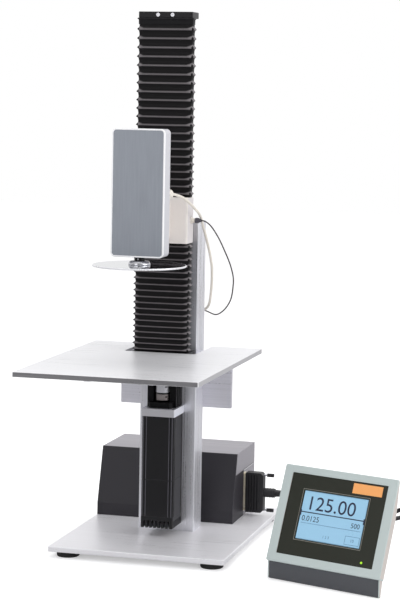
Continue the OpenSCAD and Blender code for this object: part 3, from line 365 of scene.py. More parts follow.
# %% [markdown]
# ## One recipe for every finish
# All finishes are one Principled surface with different values. Separate node trees would let
# each go its own way, but one recipe keeps them related, as things in one room are.

# %% Recipe
MOTTLE_AMOUNT = 0.25
TONE_SHARE = 0.5
COAT_ROUGH = 0.08
EDGE_GAIN, EDGE_LIFT = 1.5, 0.03


def finish(name, colour, rough, metallic=0.0, specular=0.5, coat=0.0, grain=None, grain_depth=0.15,
           grain_tone=0.5, edge=0.25, edge_highlight_colour=None, glow=0.0, fold_colour=None):
    """A surface: colour and roughness, both slightly mottled, softened edges painted lighter as a
    highlight, and optionally brushed grain, a clear coat, a glow, and a second colour as far as the
    attribute `fold` says, which the bellows use for painted light on their folds."""
    material = bpy.data.materials.new(name)
    material.use_nodes = True
    tree = material.node_tree
    shader = tree.nodes["Principled BSDF"]
    shader.inputs["Metallic"].default_value = metallic
    shader.inputs["Specular IOR Level"].default_value = specular
    shader.inputs["Coat Weight"].default_value = coat
    shader.inputs["Coat Roughness"].default_value = COAT_ROUGH
    mottle = use_group(tree, MOTTLE)
    mottle.inputs["Amount"].default_value = MOTTLE_AMOUNT
    edges = use_group(tree, EDGES)
    variation = mottle.outputs["Value"]
    if grain:
        lines = use_group(tree, GRAIN)
        lines.inputs["Stretch"].default_value = grain
        streaks = math_node(tree, "MULTIPLY", lines.outputs["Value"], grain_tone)
        variation = math_node(tree, "ADD", variation, streaks)
        edges.inputs["Depth"].default_value = grain_depth
        tree.links.new(lines.outputs["Value"], edges.inputs["Height"])
    tree.links.new(math_node(tree, "ADD", variation, rough, clamp=True), shader.inputs["Roughness"])
    tree.links.new(edges.outputs["Normal"], shader.inputs["Normal"])
    shade = tree.nodes.new("ShaderNodeHueSaturation")
    shade.inputs["Color"].default_value = (*colour, 1)
    brightness = math_node(tree, "ADD", math_node(tree, "MULTIPLY", variation, TONE_SHARE), 1.0)
    tree.links.new(brightness, shade.inputs["Value"])
    # Edges are painted lighter as far as the edge mask says: a painted highlight.
    edge_highlight = edge_highlight_colour or tuple(min(1.0, c * EDGE_GAIN + EDGE_LIFT) for c in colour)
    edge_share = math_node(tree, "MULTIPLY", edges.outputs["Mask"], edge)
    out = tinted(tree, shade.outputs[0], edge_highlight, edge_share)
    if fold_colour:
        fold = tree.nodes.new("ShaderNodeAttribute")
        fold.attribute_name = "fold"
        out = tinted(tree, out, fold_colour, fold.outputs["Fac"])
    tree.links.new(out, shader.inputs["Base Color"])
    if glow:
        tree.links.new(out, shader.inputs["Emission Color"])
        shader.inputs["Emission Strength"].default_value = glow
    return material


print("recipe uses the groups", [group.name for group in (MOTTLE, GRAIN, EDGES)])

# %% [markdown]
# ## Metals
# The plates are aluminium with fine lines from rolling, the column is anodised along its length,
# and shafts and screws are plain steel. A brushed look could come from an anisotropic shader;
# lines in colour and normal show up close as well. Faces that lie in more light or shade than their
# piece's other faces get a paler or darker copy of its finish: painted light and shade.

# %% Metals
# Stretch of the grain on the three axes: small along the lines, large across them.
ALONG_X, ALONG_Z = (6.0, 700.0, 700.0), (700.0, 700.0, 6.0)
FINE_X, FINE_Z = (3.0, 260.0, 420.0), (300.0, 300.0, 16.0)
PLATE_LOOK = dict(metallic=0.25, grain=ALONG_X, grain_depth=0.08, grain_tone=0.45, edge=0.05)
COLUMN_LOOK = dict(grain=ALONG_Z, grain_depth=0.06, grain_tone=0.6)

plate_metal = finish("plate metal", srgb(235, 235, 238), 0.36, **PLATE_LOOK)
base_metal = finish("base plate metal", srgb(243, 242, 246), 0.36, **PLATE_LOOK)
# The table's front and right faces are painted darker than its top: painted shade.
table_front_shade = finish("plate edge", srgb(150, 149, 152), 0.34, metallic=0.85, grain=ALONG_X,
                    grain_depth=0.1, grain_tone=0.6, edge=0.3)
table_right_shade = finish("plate right edge", srgb(190, 189, 192), 0.36, metallic=0.25)
anodised = finish("anodised", srgb(230, 230, 236), 0.36, metallic=0.75, **COLUMN_LOOK)
# The column's right side is painted lighter than its front: painted light.
anodised_side_lit = finish("anodised side", srgb(236, 236, 242), 0.34, metallic=0.6, **COLUMN_LOOK)
# The flange's front is painted darker and its right side lighter: painted shade and light.
flange_front_shade = finish("flange front", srgb(202, 201, 206), 0.36, metallic=0.75)
flange_side_lit = finish("flange side", srgb(244, 245, 253), 0.34, metallic=0.3)
brushed = finish("brushed plate", srgb(224, 223, 231), 0.36, metallic=0.6, grain=FINE_X,
                 grain_depth=0.06, grain_tone=0.6)
steel = finish("bright steel", srgb(205, 205, 210), 0.25, metallic=0.9)
warm_steel = finish("connector steel", srgb(246, 238, 218), 0.3, metallic=0.2)
turned_steel = finish("turned steel", srgb(205, 205, 210), 0.4, metallic=0.7)
dark_steel = finish("dark steel", srgb(150, 143, 142), 0.4, metallic=0.7)
# A pale finish painted on the disc's rim and under the box's seam as a highlight.
pale_highlight = finish("disc edge", srgb(236, 236, 240), 0.3, metallic=0.4)
polished = finish("polished steel", srgb(214, 216, 220), 0.09, metallic=1.0)
print("finishes so far:", len(bpy.data.materials))

# %% [markdown]
# ## Blacks and greys
# The motor, the lantern, the bellows and the connector are all black, yet no two alike: the motor
# shines a little, the bellows are dull fabric with the light on their folds painted pale. One black
# would do from far off, but their small differences tell the parts from each other in the shade.

# %% Blacks and greys
# Grey painted on the black metals' edges as a highlight.
EDGE_HIGHLIGHT = srgb(100, 100, 106)
motor_black = finish("motor black", srgb(14, 13, 17), 0.34, specular=0.36, edge=0.5, edge_highlight_colour=EDGE_HIGHLIGHT)
# Grey painted on the motor's ribs as a highlight where their walls catch the light.
rib_highlight = finish("rib highlight grey", srgb(86, 85, 93), 0.4, edge=0.0)
lead_grey = finish("side lead", srgb(66, 59, 62), 0.45, edge=0.0)
plug_grey = finish("side plug", srgb(82, 79, 88), 0.35, specular=0.6)
black_metal = finish("black metal", srgb(18, 17, 20), 0.4, specular=0.3, edge=0.5, edge_highlight_colour=EDGE_HIGHLIGHT)
# The lantern's edges are painted grey as a highlight.
bell_black = finish("lantern black", srgb(12, 12, 14), 0.5, specular=0.15, edge=0.4,
                    edge_highlight_colour=srgb(70, 70, 76))
# The pale fold colour is painted light on the ridges and on the slopes that face the lamps.
bellows_skin = finish("bellows skin", srgb(17, 15, 17), 0.6, specular=0.25, edge=0.0,
                      fold_colour=srgb(136, 131, 134))
foot_rubber = finish("foot rubber", srgb(30, 29, 30), 0.6, edge=0.3)
black_plastic = finish("black plastic", srgb(28, 27, 31), 0.42, edge=0.4)
spider_black = finish("spider", srgb(26, 25, 27), 0.5)
print("finishes so far:", len(bpy.data.materials))

# %% [markdown]
# ## Paints and plastics
# The head is white with a grey front plate, the carriage cream, the control box grey over
# charcoal, and the console a pale grey-green. Paint could carry a clear coat; these are matt, so
# a middling roughness alone gives their soft shine.

# %% Paints and plastics
cream_paint = finish("cream paint", srgb(234, 228, 223), 0.4)
# The carriage's front is painted lighter and its right side darker: painted light and shade.
cream_front_lit = finish("cream paint front", srgb(246, 240, 236), 0.4)
cream_side_shade = finish("cream paint side", srgb(218, 213, 214), 0.4)
cream_plastic = finish("cream plastic", srgb(232, 226, 216), 0.45)
# The head's edges are painted near white as a highlight.
head_paint = finish("head paint", srgb(204, 204, 210), 0.38, edge=0.8, edge_highlight_colour=srgb(246, 246, 248))
head_rim = finish("head rim", srgb(251, 251, 253), 0.35, edge=0.0)
head_face = finish("head face", srgb(148, 153, 162), 0.42, metallic=0.2, grain=FINE_Z,
                   grain_depth=0.05, grain_tone=0.5, edge=0.0)
# The edges of the box's front and cover are painted paler as a highlight.
box_dark = finish("box front", srgb(44, 42, 48), 0.5, specular=0.4, edge=0.6,
                  edge_highlight_colour=srgb(150, 150, 155))
box_grey = finish("box cover", srgb(150, 147, 154), 0.42, grain=FINE_X, grain_depth=0.05,
                  grain_tone=0.5, edge=0.5)
console_grey = finish("console frame", srgb(190, 201, 200), 0.42)
console_side = finish("console side", srgb(200, 193, 188), 0.45)
console_base = finish("console foot", srgb(81, 83, 88), 0.5)
print("finishes so far:", len(bpy.data.materials))

# %% [markdown]
# ## Display colours
# The display is a lit blue panel behind a dark olive bezel. It could be a lamp of its own; a weak
# glow on the screen's own colour is enough in a bright room and throws hardly any light around.

# %% Display colours
bezel_dark = finish("bezel", srgb(40, 42, 34), 0.32, specular=0.3, edge=0.3)
screen_blue = finish("screen", srgb(145, 189, 217), 0.3, coat=0.3, edge=0.0, glow=0.2)
lamp_green = finish("lamp", srgb(150, 205, 20), 0.3, coat=0.3, glow=0.6)
ink = finish("display ink", srgb(28, 34, 66), 0.4, edge=0.0)
pale_ink = finish("pale display ink", srgb(96, 134, 172), 0.4, edge=0.0)
border_grey = finish("display border", srgb(132, 130, 122), 0.4, edge=0.0)
# The label glows a little though it is no lamp: painted light that keeps it bright.
label_orange_glow = finish("label", srgb(243, 168, 98), 0.4, edge=0.0, glow=0.06)
print("all finishes:", len(bpy.data.materials))

# %% [markdown]
# ## Dressing the solids
# Each solid takes its finish from the list below. Finishes could be set where each part is
# spoken of, but one list shows at a glance that none is forgotten. The solids' shapes stay.

# %% Dressing
DRESS = {
    plate_metal: "table_plate",
    base_metal: "base_plate",
    anodised: "column table_supports guide_rail slide_block load_cell motor_flange",
    brushed: "back_plate",
    steel: "base_screws table_screws screw_bearings end_plate_screws ball_screw ball_nut carriage_screws "
           "spindle disc_hub rotor_shaft",
    turned_steel: "coupling_screw_half",
    warm_steel: "port_socket",
    dark_steel: "coupling_motor_half",
    polished: "compression_disc",
    black_metal: "axis_plate lower_bearing_block upper_bearing_block end_plate collar",
    motor_black: "motor_body motor_cap",
    bell_black: "bell_housing",
    bellows_skin: "upper_bellows lower_bellows",
    foot_rubber: "feet",
    cream_paint: "carriage_bracket head_arm",
    head_paint: "head_shell head_back",
    head_face: "head_front",
    cream_plastic: "head_gland side_socket sensor_cable",
    black_plastic: "port_hood upper_thumbscrew lower_thumbscrew cable_boot console_socket "
                   "column_fittings console_cable",
    plug_grey: "side_plug",
    lead_grey: "side_cable",
    box_dark: "box_base",
    box_grey: "box_cover",
    console_grey: "console_frame",
    console_side: "console_shell",
    console_base: "console_foot",
    bezel_dark: "screen_bezel",
    screen_blue: "screen",
    lamp_green: "status_lamp",
    spider_black: "coupling_spider",
}
dressed = 0
for material, names in DRESS.items():
    for name in names.split():
        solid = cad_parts[name]
        solid.data.materials.clear()
        solid.data.materials.append(material)
        dressed += 1
print("dressed", dressed, "of", len(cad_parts), "solids")

# %% [markdown]
# The table's front and right edges, the flange's front and right sides, the column's right side
# and the carriage's front and right side get lighter or darker copies of their piece's finish,
# painted light and shade; the console frame's right faces take the console's side colour, its own.
# The solid could be cut up for it, but a second material on the faces that look forward or to the
# right leaves it whole.

# %% Faces with their own finish
FACING = 0.9
OWN_FACES = (
    ("table_plate", "front", table_front_shade), ("table_plate", "right", table_right_shade),
    ("motor_flange", "front", flange_front_shade), ("motor_flange", "right", flange_side_lit),
    ("column", "right", anodised_side_lit), ("console_frame", "right", console_side),
    ("carriage_bracket", "front", cream_front_lit), ("carriage_bracket", "right", cream_side_shade))
for name, way, material in OWN_FACES:
    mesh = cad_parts[name].data
    mesh.materials.append(material)
    for polygon in mesh.polygons:
        if (-polygon.normal.y if way == "front" else polygon.normal.x) > FACING:
            polygon.material_index = len(mesh.materials) - 1
print("solids with faces of another finish:", len({name for name, way, material in OWN_FACES}))

# %% [markdown]
# ## Cables
# A cream sensor lead and a thin grey lead run from the carriage to the column's back, and a thick
# black one from the control box to the console. Gravity could be simulated, but the photograph
# shows how they hang, so each follows listed points, and so do the stretches out of sight.

# %% Routes
SENSOR_ROUTE = [
    (36, -144, 602), (36, -134, 602), (41, -125.5, 601), (48, -113, 597.5), (52.5, -99, 592.5),
    (56.5, -82, 584.5), (60, -64, 575), (62, -47, 567), (62, -29, 555.5), (62, -19, 544.5),
    (63, -7, 529.5), (64.5, 6, 510), (66, 16, 492), (66.5, 26, 472.5), (65.5, 32, 460.5),
    (63.5, 39, 442.5), (60, 47, 422.5), (56, 56, 408), (51, 64, 399), (45, 72, 394), (37, 80, 389),
    (29, 81, 385), (24, 75, 383), (22, 68, 383), (22, 62, 383)]
SIDE_ROUTE = [
    (64, -40, 554), (71, -39, 553), (81, -37, 545), (93, -33, 526), (102, -24, 503),
    (108, -10, 480), (110, 5, 457), (106, 20, 438), (99, 35, 417), (87, 50, 400), (74, 62, 389),
    (61, 74, 384), (43, 90, 387), (27, 95, 391), (12, 90, 394), (3, 80, 395), (0, 70, 395), (0, 62, 395)]
CONSOLE_ROUTE = [
    (150, 158, 61.3), (164, 158, 61.3), (178, 157, 58), (193, 154, 50), (206, 148, 39), (220, 139, 27),
    (234, 126, 17), (248, 110, 9), (262, 90, 5), (276, 66, 4), (292, 42, 4), (308, 20, 5), (322, 0, 9),
    (336, -16, 18), (350, -30, 33), (366, -42, 53), (384, -51, 73), (404, -57, 90), (424, -61, 99),
    (440, -68, 102), (451, -80, 103), (455, -94, 103), (452, -110, 102), (442, -123, 101), (426, -133, 99),
    (411, -142, 96), (400, -151, 92), (393, -161, 90), (390, -170, 90)]
SENSOR_THICK, SIDE_THICK, CONSOLE_THICK = 4.6, 2.3, 7.0
print("route points:", len(SENSOR_ROUTE), len(SIDE_ROUTE), len(CONSOLE_ROUTE))

# %% [markdown]
# The two leads at the carriage are fixed to it at one end and to the column at the other. Their
# fall could be worked out anew for each height; each keeps one route, since they are short and
# hang free.


# %% Cables
def belong(piece, body=None, instead_of=None):
    """Says which body a piece rides on and hides the solid it stands for."""
    if body:
        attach(piece, body)
    if instead_of:
        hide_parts(instead_of)
    return piece


def lay_cable(name, route, diameter, material):
    """A cable along its route."""
    path = along(route)
    cable = tube(name, path, diameter, material)
    return cable


sensor_lead = lay_cable("sensor lead", SENSOR_ROUTE, SENSOR_THICK, cream_plastic)
side_lead = lay_cable("side lead", SIDE_ROUTE, SIDE_THICK, lead_grey)
console_lead = lay_cable("console lead", CONSOLE_ROUTE[::-1], CONSOLE_THICK, black_plastic)
belong(sensor_lead, instead_of="sensor_cable")
belong(side_lead, instead_of="side_cable")
belong(console_lead, "root", "console_cable")
blend_between(sensor_lead)
blend_between(side_lead)

# %% [markdown]
# ## Bellows
# Two folded skins hide the axis above and below the carriage. A pleat is a U in plan that goes in
# and out with height: at the ridge it stands on the outer outline and at each valley it lies one
# pleat depth inside it. One long skin would stretch unevenly, so each pleat is a piece of its own.

# %% Shape of a pleat
BELLOWS_HALF = 50.5
BELLOWS_FRONT = 53.0
BELLOWS_BACK = 36.0
SIDE_IN = 0.6
SIDE_TUCK = 0.75
PLEAT_DEPTH = 4.5
RIDGE_IN = 0.15
SKIN = 1.0
CORNER, RIDGE_CORNER, INNER_CORNER = 2.5, 5.0, 1.5


def quarter(centre, radius, start, count):
    """A quarter turn: the centre plus radius times (cos a, sin a), for a from start degrees on."""
    a = np.radians(np.linspace(start, start + 90, count))
    return np.column_stack([centre[0] + radius * np.cos(a), centre[1] + radius * np.sin(a)])


def u_outline(inset, corner):
    """Points of the U, from the back of one side round the front to the back of the other. For
    each millimetre of inset its front moves in by 1 and its sides by the side tuck."""
    half, front = BELLOWS_HALF - SIDE_IN - SIDE_TUCK * inset, BELLOWS_FRONT - inset
    inner = half - corner
    side_y = np.linspace(BELLOWS_BACK, front - corner, 4)
    # The front's points stand closer beside the corners, where the wear changes most.
    near = np.array([2.5, 5, 9])
    front_x = np.concatenate([near - inner, [-20, 0, 20], (inner - near)[::-1]])
    return np.vstack([
        np.column_stack([np.full(4, -half), -side_y]),
        quarter((-inner, corner - front), corner, 180, 5)[1:],
        np.column_stack([front_x, np.full(9, -front)]),
        quarter((inner, corner - front), corner, 270, 5),
        np.column_stack([np.full(3, half), -side_y[::-1][1:]])])


# Height from the ridge as a share of half a pleat, and how deep the skin lies there as a share of
# the pleat depth. Below the ridge it tucks in and swells out a little; above it lies as a slope.
PROFILE = np.array([
    (-1.0, 1.0), (-0.8, 0.92), (-0.58, 0.8), (-0.36, 0.74), (-0.24, 0.52), (-0.12, 0.18), (0.0, 0.0),
    (0.12, 0.1), (0.24, 0.32), (0.36, 0.56), (0.5, 0.8), (0.62, 0.92), (0.8, 0.98), (1.0, 1.0)])
print("a pleat's plan has", len(u_outline(0, CORNER)), "points")

# %% [markdown]
# The ridges and the slopes above them face the light from above, and more of each fold does so at
# the corners and along the sides; that light is painted on as a pale colour. It could be a picture;
# here it is a number per point, kept in the attribute `fold`, which the skin's finish reads.
# The skin itself is the profile carried round the U, with a little chance in how far a ridge
# stands out and hangs, because cloth never folds twice alike.

# %% Skin and wear of a pleat
WOBBLE, DROOP = 0.12, 0.5
WEDGE = 13.0
SIDE_BAND = 6.0


def fold_highlight(points, side):
    """Painted light on the skin, 0.55 to 1: a band from 0.2 below the ridge to 0.3 above it, with
    soft ends, that widens into a wedge up to 0.9 at the corners and to 0.66 along the sides."""
    from_corner = np.clip((BELLOWS_HALF - np.abs(points[:, 0])) / WEDGE, 0, 1)
    along_side = np.clip((points[:, 1] + BELLOWS_FRONT - SIDE_BAND) / SIDE_BAND, 0, 1) * (from_corner < 0.9)
    corner = np.clip(1 - from_corner, 0, 1) * (1 - along_side) + 0.6 * along_side
    reach = 0.30 + 0.6 * corner
    above = np.clip((reach - side) / 0.16, 0, 1)
    below = np.clip((side + 0.2) / 0.08, 0, 1)
    return above * below * (0.55 + 0.45 * corner)


def pleat(name, z_low, z_high):
    """One pleat from valley to valley as a closed skin: outside up one way, inside back. The
    ridge hangs a little in the middle, by the cosine of the way from the middle to the side, and
    stands in by a small chance amount; both fade out half way to the valleys."""
    wobble = rng.normal(0, WOBBLE)
    droop = rng.uniform(0.0, DROOP)
    rows, fold = [], []
    for side, depth in PROFILE:
        edge = max(0.0, 1 - abs(side) / 0.5)
        inset = PLEAT_DEPTH * depth + RIDGE_IN
        outer = u_outline(inset + edge * abs(wobble), CORNER + RIDGE_CORNER * (1 - depth))
        inner = u_outline(inset + SKIN, INNER_CORNER)[::-1]
        loop = np.vstack([outer, inner])
        middle = np.cos(loop[:, 0] / BELLOWS_HALF * math.pi / 2)
        z = z_low + (z_high - z_low) * (0.5 + side / 2) - edge * droop * middle
        rows.append(np.column_stack([loop, z]))
        # Painted light on the outer skin only, none inside.
        fold.append(np.concatenate([fold_highlight(outer, side), np.zeros(len(inner))]))
    piece = grid_mesh(name, np.array(rows), bellows_skin, wrap=True)
    attribute = piece.data.attributes.new("fold", "FLOAT", "POINT")
    attribute.data.foreach_set("value", np.concatenate(fold).astype(np.float32))
    return piece


print("a pleat has", len(PROFILE), "rows")

# %% [markdown]
# Each pleat gets its own stretch of the bellows' height, from valley to valley. The pleats could
# also be squashed by hand for each pose, but then only those poses would be right.

# %% Pleats that share the travel
COLLAR = 11.0
upper_low, upper_high = node_span("upper_bellows")
lower_low, lower_high = node_span("lower_bellows")


def pleated(node, count, growth, z_fixed, z_moving):
    """All pleats of one bellows, slightly wider towards the top. The height between the fixed and
    the moving end is shared out among them: each pleat's stretch starts and ends at its valleys."""
    low, high = min(z_fixed, z_moving), max(z_fixed, z_moving)
    shares = np.arange(count + 1) / count
    edges = low + (high - low) * (shares + growth * shares * (shares - 1))
    for i in range(count):
        piece = pleat(f"{node} pleat {i}", edges[i], edges[i + 1])
        blend_between(piece)
        belong(piece, instead_of=node)
    print(node, "has", count, "pleats over", round(high - low, 1), "mm")


pleated("upper_bellows", count=21, growth=0.14, z_fixed=upper_high[2] - COLLAR, z_moving=upper_low[2])
pleated("lower_bellows", count=18, growth=0.10, z_fixed=lower_low[2], z_moving=lower_high[2])

# %% [markdown]
# The top fold is glued round a collar under the end plate. It could be one more pleat, but it
# doesn't move, so it is a band of its own with a thin flange, carried round the same U.

# %% Top collar
COLLAR_CORNER = 2.0
COLLAR_PROFILE = ((6, 0), (4, 0), (3.5, 1), (3.2, 8.4), (1.6, 8.8), (1.3, 9.2), (1.3, 10.7), (1.6, COLLAR),
                  (6, COLLAR))
collar_rows = []
for inset, z in COLLAR_PROFILE:
    ring = u_outline(inset, COLLAR_CORNER)
    collar_rows.append(np.column_stack([ring, np.full(len(ring), upper_high[2] - COLLAR + z)]))
top_collar = grid_mesh("bellows top collar", np.array(collar_rows), black_metal)
belong(top_collar, "root", "upper_bellows")
print("top collar has", len(collar_rows), "rings")

# %% [markdown]
# ## Flat-faced pieces
# Labels, ribs, seams and panels are thin plates. A cube could be scaled for each; two outlines
# with the same number of points, joined by sides, serve plates of any shape and any slope.


# %% Flat-faced pieces
def prism(name, first, second, material, body="root"):
    """A flat-faced body between two outlines that have the same number of points."""
    n = len(first)
    index = np.arange(n)
    ahead = (index + 1) % n
    sides = np.column_stack([index, ahead, ahead + n, index + n]).tolist()
    faces = [index[::-1].tolist(), (index + n).tolist()] + sides
    piece = add_mesh(name, np.vstack([first, second]), faces, material, smooth=False)
    return belong(piece, body)


def rectangle(left, low, right, high):
    """The four corners of a rectangle in turn, as (across, up) pairs."""
    return np.array([(left, low), (right, low), (right, high), (left, high)], dtype=float)


print("a rectangle has the corners", rectangle(0, 0, 2, 1).tolist())

# %% [markdown]
# ## Console display
# The display and the label lie on the console's sloping face. They could be a picture on the
# screen, but thin raised pieces stay sharp from any distance. `on_face` places points given as
# distances to the right, up the face, and out of it.

# %% Sloping face
CONSOLE_AT = (320.0, -230.0)
CONSOLE_YAW = math.radians(-20)
CONSOLE_TILT = math.radians(69)
CONSOLE_LIFT = 30.0
SCREEN = dict(left=-59.0, right=57.0, low=42.25, high=117.75, out=-1.3)


def on_face(points):
    """Face coordinates (right, up, out) to working millimetres: the face leans back by its tilt
    and is then turned by its yaw about the console's place."""
    right, up, out = np.asarray(points, dtype=float).T
    depth = up * math.cos(CONSOLE_TILT) - out * math.sin(CONSOLE_TILT)
    height = CONSOLE_LIFT + up * math.sin(CONSOLE_TILT) + out * math.cos(CONSOLE_TILT)
    x = CONSOLE_AT[0] + right * math.cos(CONSOLE_YAW) - depth * math.sin(CONSOLE_YAW)
    y = CONSOLE_AT[1] + right * math.sin(CONSOLE_YAW) + depth * math.cos(CONSOLE_YAW)
    return np.column_stack([x, y, height])


def at(share_right, share_up):
    """A point of the screen from its shares of the width and the height."""
    return (SCREEN["left"] + share_right * (SCREEN["right"] - SCREEN["left"]),
            SCREEN["low"] + share_up * (SCREEN["high"] - SCREEN["low"]))


def face_plate(name, left, right, low, high, out, thick, material):
    """A thin plate lying on the face between two heights out of it."""
    plan = rectangle(left, low, right, high)
    first, second = (on_face(np.column_stack([plan, np.full(4, z)])) for z in (out, out + thick))
    return prism(name, first, second, material)


glass = SCREEN["out"]
print("screen's lower left corner stands at", np.round(on_face([(*at(0, 0), glass)])[0], 1))

# %% [markdown]
# The display shows plain numbers. They could be a picture of a display, but a font's glyphs made
# a mesh stay sharp. The text is made a mesh before its points are placed on the sloping face.


# %% Numbers on the screen
def number(name, text, size, right, up, material, align="LEFT", widen=1.0):
    """A number as flat glyphs on the screen, each point moved by (right, up)."""
    curve = bpy.data.curves.new(name, "FONT")
    curve.body = text
    curve.size = size
    curve.align_x = align
    curve.extrude = 0.05
    source = bpy.data.objects.new(name + " source", curve)
    bpy.context.collection.objects.link(source)
    bpy.context.view_layer.update()
    shape = bpy.data.meshes.new_from_object(source)
    flat = np.empty(len(shape.vertices) * 3)
    shape.vertices.foreach_get("co", flat)
    flat = flat.reshape(-1, 3)
    faces = [tuple(p.vertices) for p in shape.polygons]
    bpy.data.objects.remove(source)
    bpy.data.meshes.remove(shape)
    points = np.column_stack([right + flat[:, 0] * widen, up + flat[:, 1], glass + flat[:, 2]])
    glyphs = add_mesh(name, on_face(points), faces, material, smooth=False)
    return belong(glyphs, "root")


number("large reading", "125.00", 31, *at(0.06, 0.62), ink, widen=1.08)
number("left reading", "0.0125", 12, *at(0.03, 0.38), ink)
number("right reading", "500", 11, *at(0.95, 0.38), ink, align="RIGHT")
number("small reading", "1 2 3", 6, *at(0.41, 0.08), pale_ink)
print("numbers laid on the screen")

# %% [markdown]
# Two rules part the screen, a thin frame makes a touch key, a grey border runs round the whole
# display, and a bare orange label sits above it. Lines drawn by a material would do from far off;
# thin plates have real edges and follow the screen's corners.

# %% Rules, key, border and label
RULE, LINE, KEY_LINE, BORDER_LINE = 1.6, 0.6, 0.6, 0.9
BORDER_AWAY = 3.4
FRAME_OUT = -0.8
LABEL = dict(left=26, right=79, low=125, high=141)


def outline(name, left, right, low, high, line, out, thick, material):
    """Four thin plates round a rectangle on the face."""
    sides = dict(low=(left, right, low, low + line), high=(left, right, high - line, high),
                 left=(left, left + line, low, high), right=(right - line, right, low, high))
    for part, box in sides.items():
        face_plate(f"{name} {part}", *box, out, thick, material)


rule_left, rule_up = at(0.0, 0.55)
face_plate("thick rule", rule_left, SCREEN["right"], rule_up, rule_up + RULE, glass, 0.1, ink)
line_left, line_up = at(0.03, 0.33)
face_plate("thin rule", line_left, SCREEN["right"] - 3, line_up, line_up + LINE, glass, 0.1, pale_ink)
key_left, key_low = at(0.76, 0.03)
key_right, key_high = at(0.985, 0.21)
outline("key", key_left, key_right, key_low, key_high, KEY_LINE, glass, 0.1, pale_ink)
outline("display border", SCREEN["left"] - BORDER_AWAY, SCREEN["right"] + BORDER_AWAY,
        SCREEN["low"] - BORDER_AWAY, SCREEN["high"] + BORDER_AWAY, BORDER_LINE, FRAME_OUT, 0.15, border_grey)
number("key number", "10", 7, (key_left + key_right) / 2, key_low + 4.5, pale_ink, align="CENTER")
for name in ("left", "right"):
    clip_left = SCREEN[name] - 1.0
    face_plate(f"{name} clip", clip_left, clip_left + 2.0, rule_up - 5, rule_up + 4, glass, 1.0, ink)
face_plate("label", **LABEL, out=FRAME_OUT, thick=0.4, material=label_orange_glow)
print("rules, key, border, clips and label laid on the face")

# %% [markdown]
# The frame's sloping back is closed by a thin cover, as the screen's module would show through it
# otherwise. The frame's own faces could be pulled back, but its shape isn't touched here, so a
# plate lies on it and follows the back, which comes forward as it rises.

# %% Rear cover
BACK_OUT, BACK_SLOPE, BACK_AT = -14, 0.2, 96
cover_plan = rectangle(-72, 104, 72, 128)
cover_back = BACK_OUT + BACK_SLOPE * (cover_plan[:, 1] - BACK_AT)
inside, outside = (on_face(np.column_stack([cover_plan, cover_back + out])) for out in (-1.5, 0.1))
prism("console rear cover", inside, outside, console_grey)
print("rear cover closes the frame")

# %% [markdown]
# ## Small turned parts
# A set screw shines in the collar above the disc, and the connector's thumbscrews turn on thin
# shanks. Both are short pins. Cylinders would do, but a profile carried round the axis gives
# them a softened rim and a hollow end in one go.


# %% Pins
def pin(name, centre, radius, depth, body, axis=1, sign=-1):
    """A short round pin along an axis, its outer end at sign of that axis: a profile of (radius,
    depth) pairs carried round, with a softened rim and a socket half as deep as the pin."""
    angle = np.linspace(0, 2 * math.pi, 20, endpoint=False)
    steps = np.array([(radius, 0), (radius, depth * 0.8), (radius * 0.9, depth), (radius * 0.45, depth),
                      (radius * 0.4, depth * 0.5), (0.01, depth * 0.5)])
    first, second = (k for k in range(3) if k != axis)
    grid = np.zeros((len(steps), len(angle), 3))
    grid[:, :, first] = np.outer(steps[:, 0], np.cos(angle))
    grid[:, :, second] = np.outer(steps[:, 0], np.sin(angle))
    grid[:, :, axis] = sign * steps[:, 1:]
    return belong(grid_mesh(name, grid + centre, steel, wrap=True, smooth=False), body)


SCREW_UP, SCREW_IN = 2.6, 1.4
KNOB = 12.2
collar_low, collar_high = node_span("collar")
screw_at = ((collar_low[0] + collar_high[0]) / 2, collar_low[1] + SCREW_IN, collar_low[2] + SCREW_UP)
pin("collar set screw", screw_at, radius=1.45, depth=1.2, body="carriage")
hood_low, hood_high = node_span("port_hood")
for body in ("upper_thumb", "lower_thumb"):
    knob_low, knob_high = node_span(body + "screw")
    middle = (knob_low + knob_high) / 2
    pin(f"{body} shank", (hood_high[0] + 0.1, middle[1], middle[2]), radius=1.7,
        depth=knob_high[0] - hood_high[0] - KNOB, body=body, axis=0, sign=1)
print("set screw and two shanks made")

# %% [markdown]
# The disc hangs from a domed hub and has a rounded rim that catches the light. The solids have a
# plain hub and a sharp rim, so a dome replaces the one and a thin ring lies on the other, painted
# pale as a highlight. Both are profiles turned about the spindle.


# %% Hub and rim
def turned(name, profile, material, body, caps=True):
    """A body of revolution about the spindle: (radius, height) pairs from the top down. A ring,
    whose last pair is the first again, has no caps."""
    angle = np.linspace(0, 2 * math.pi, 96, endpoint=False)
    centre = (disc_centre - ORIGIN) * 1000
    radius, height = np.array(profile).T
    x = centre[0] + np.outer(radius, np.cos(angle))
    y = centre[1] + np.outer(radius, np.sin(angle))
    grid = np.stack([x, y, np.tile(height[:, None], len(angle))], axis=-1)
    return belong(grid_mesh(name, grid[:, ::-1], material, wrap=True, caps=caps), body)


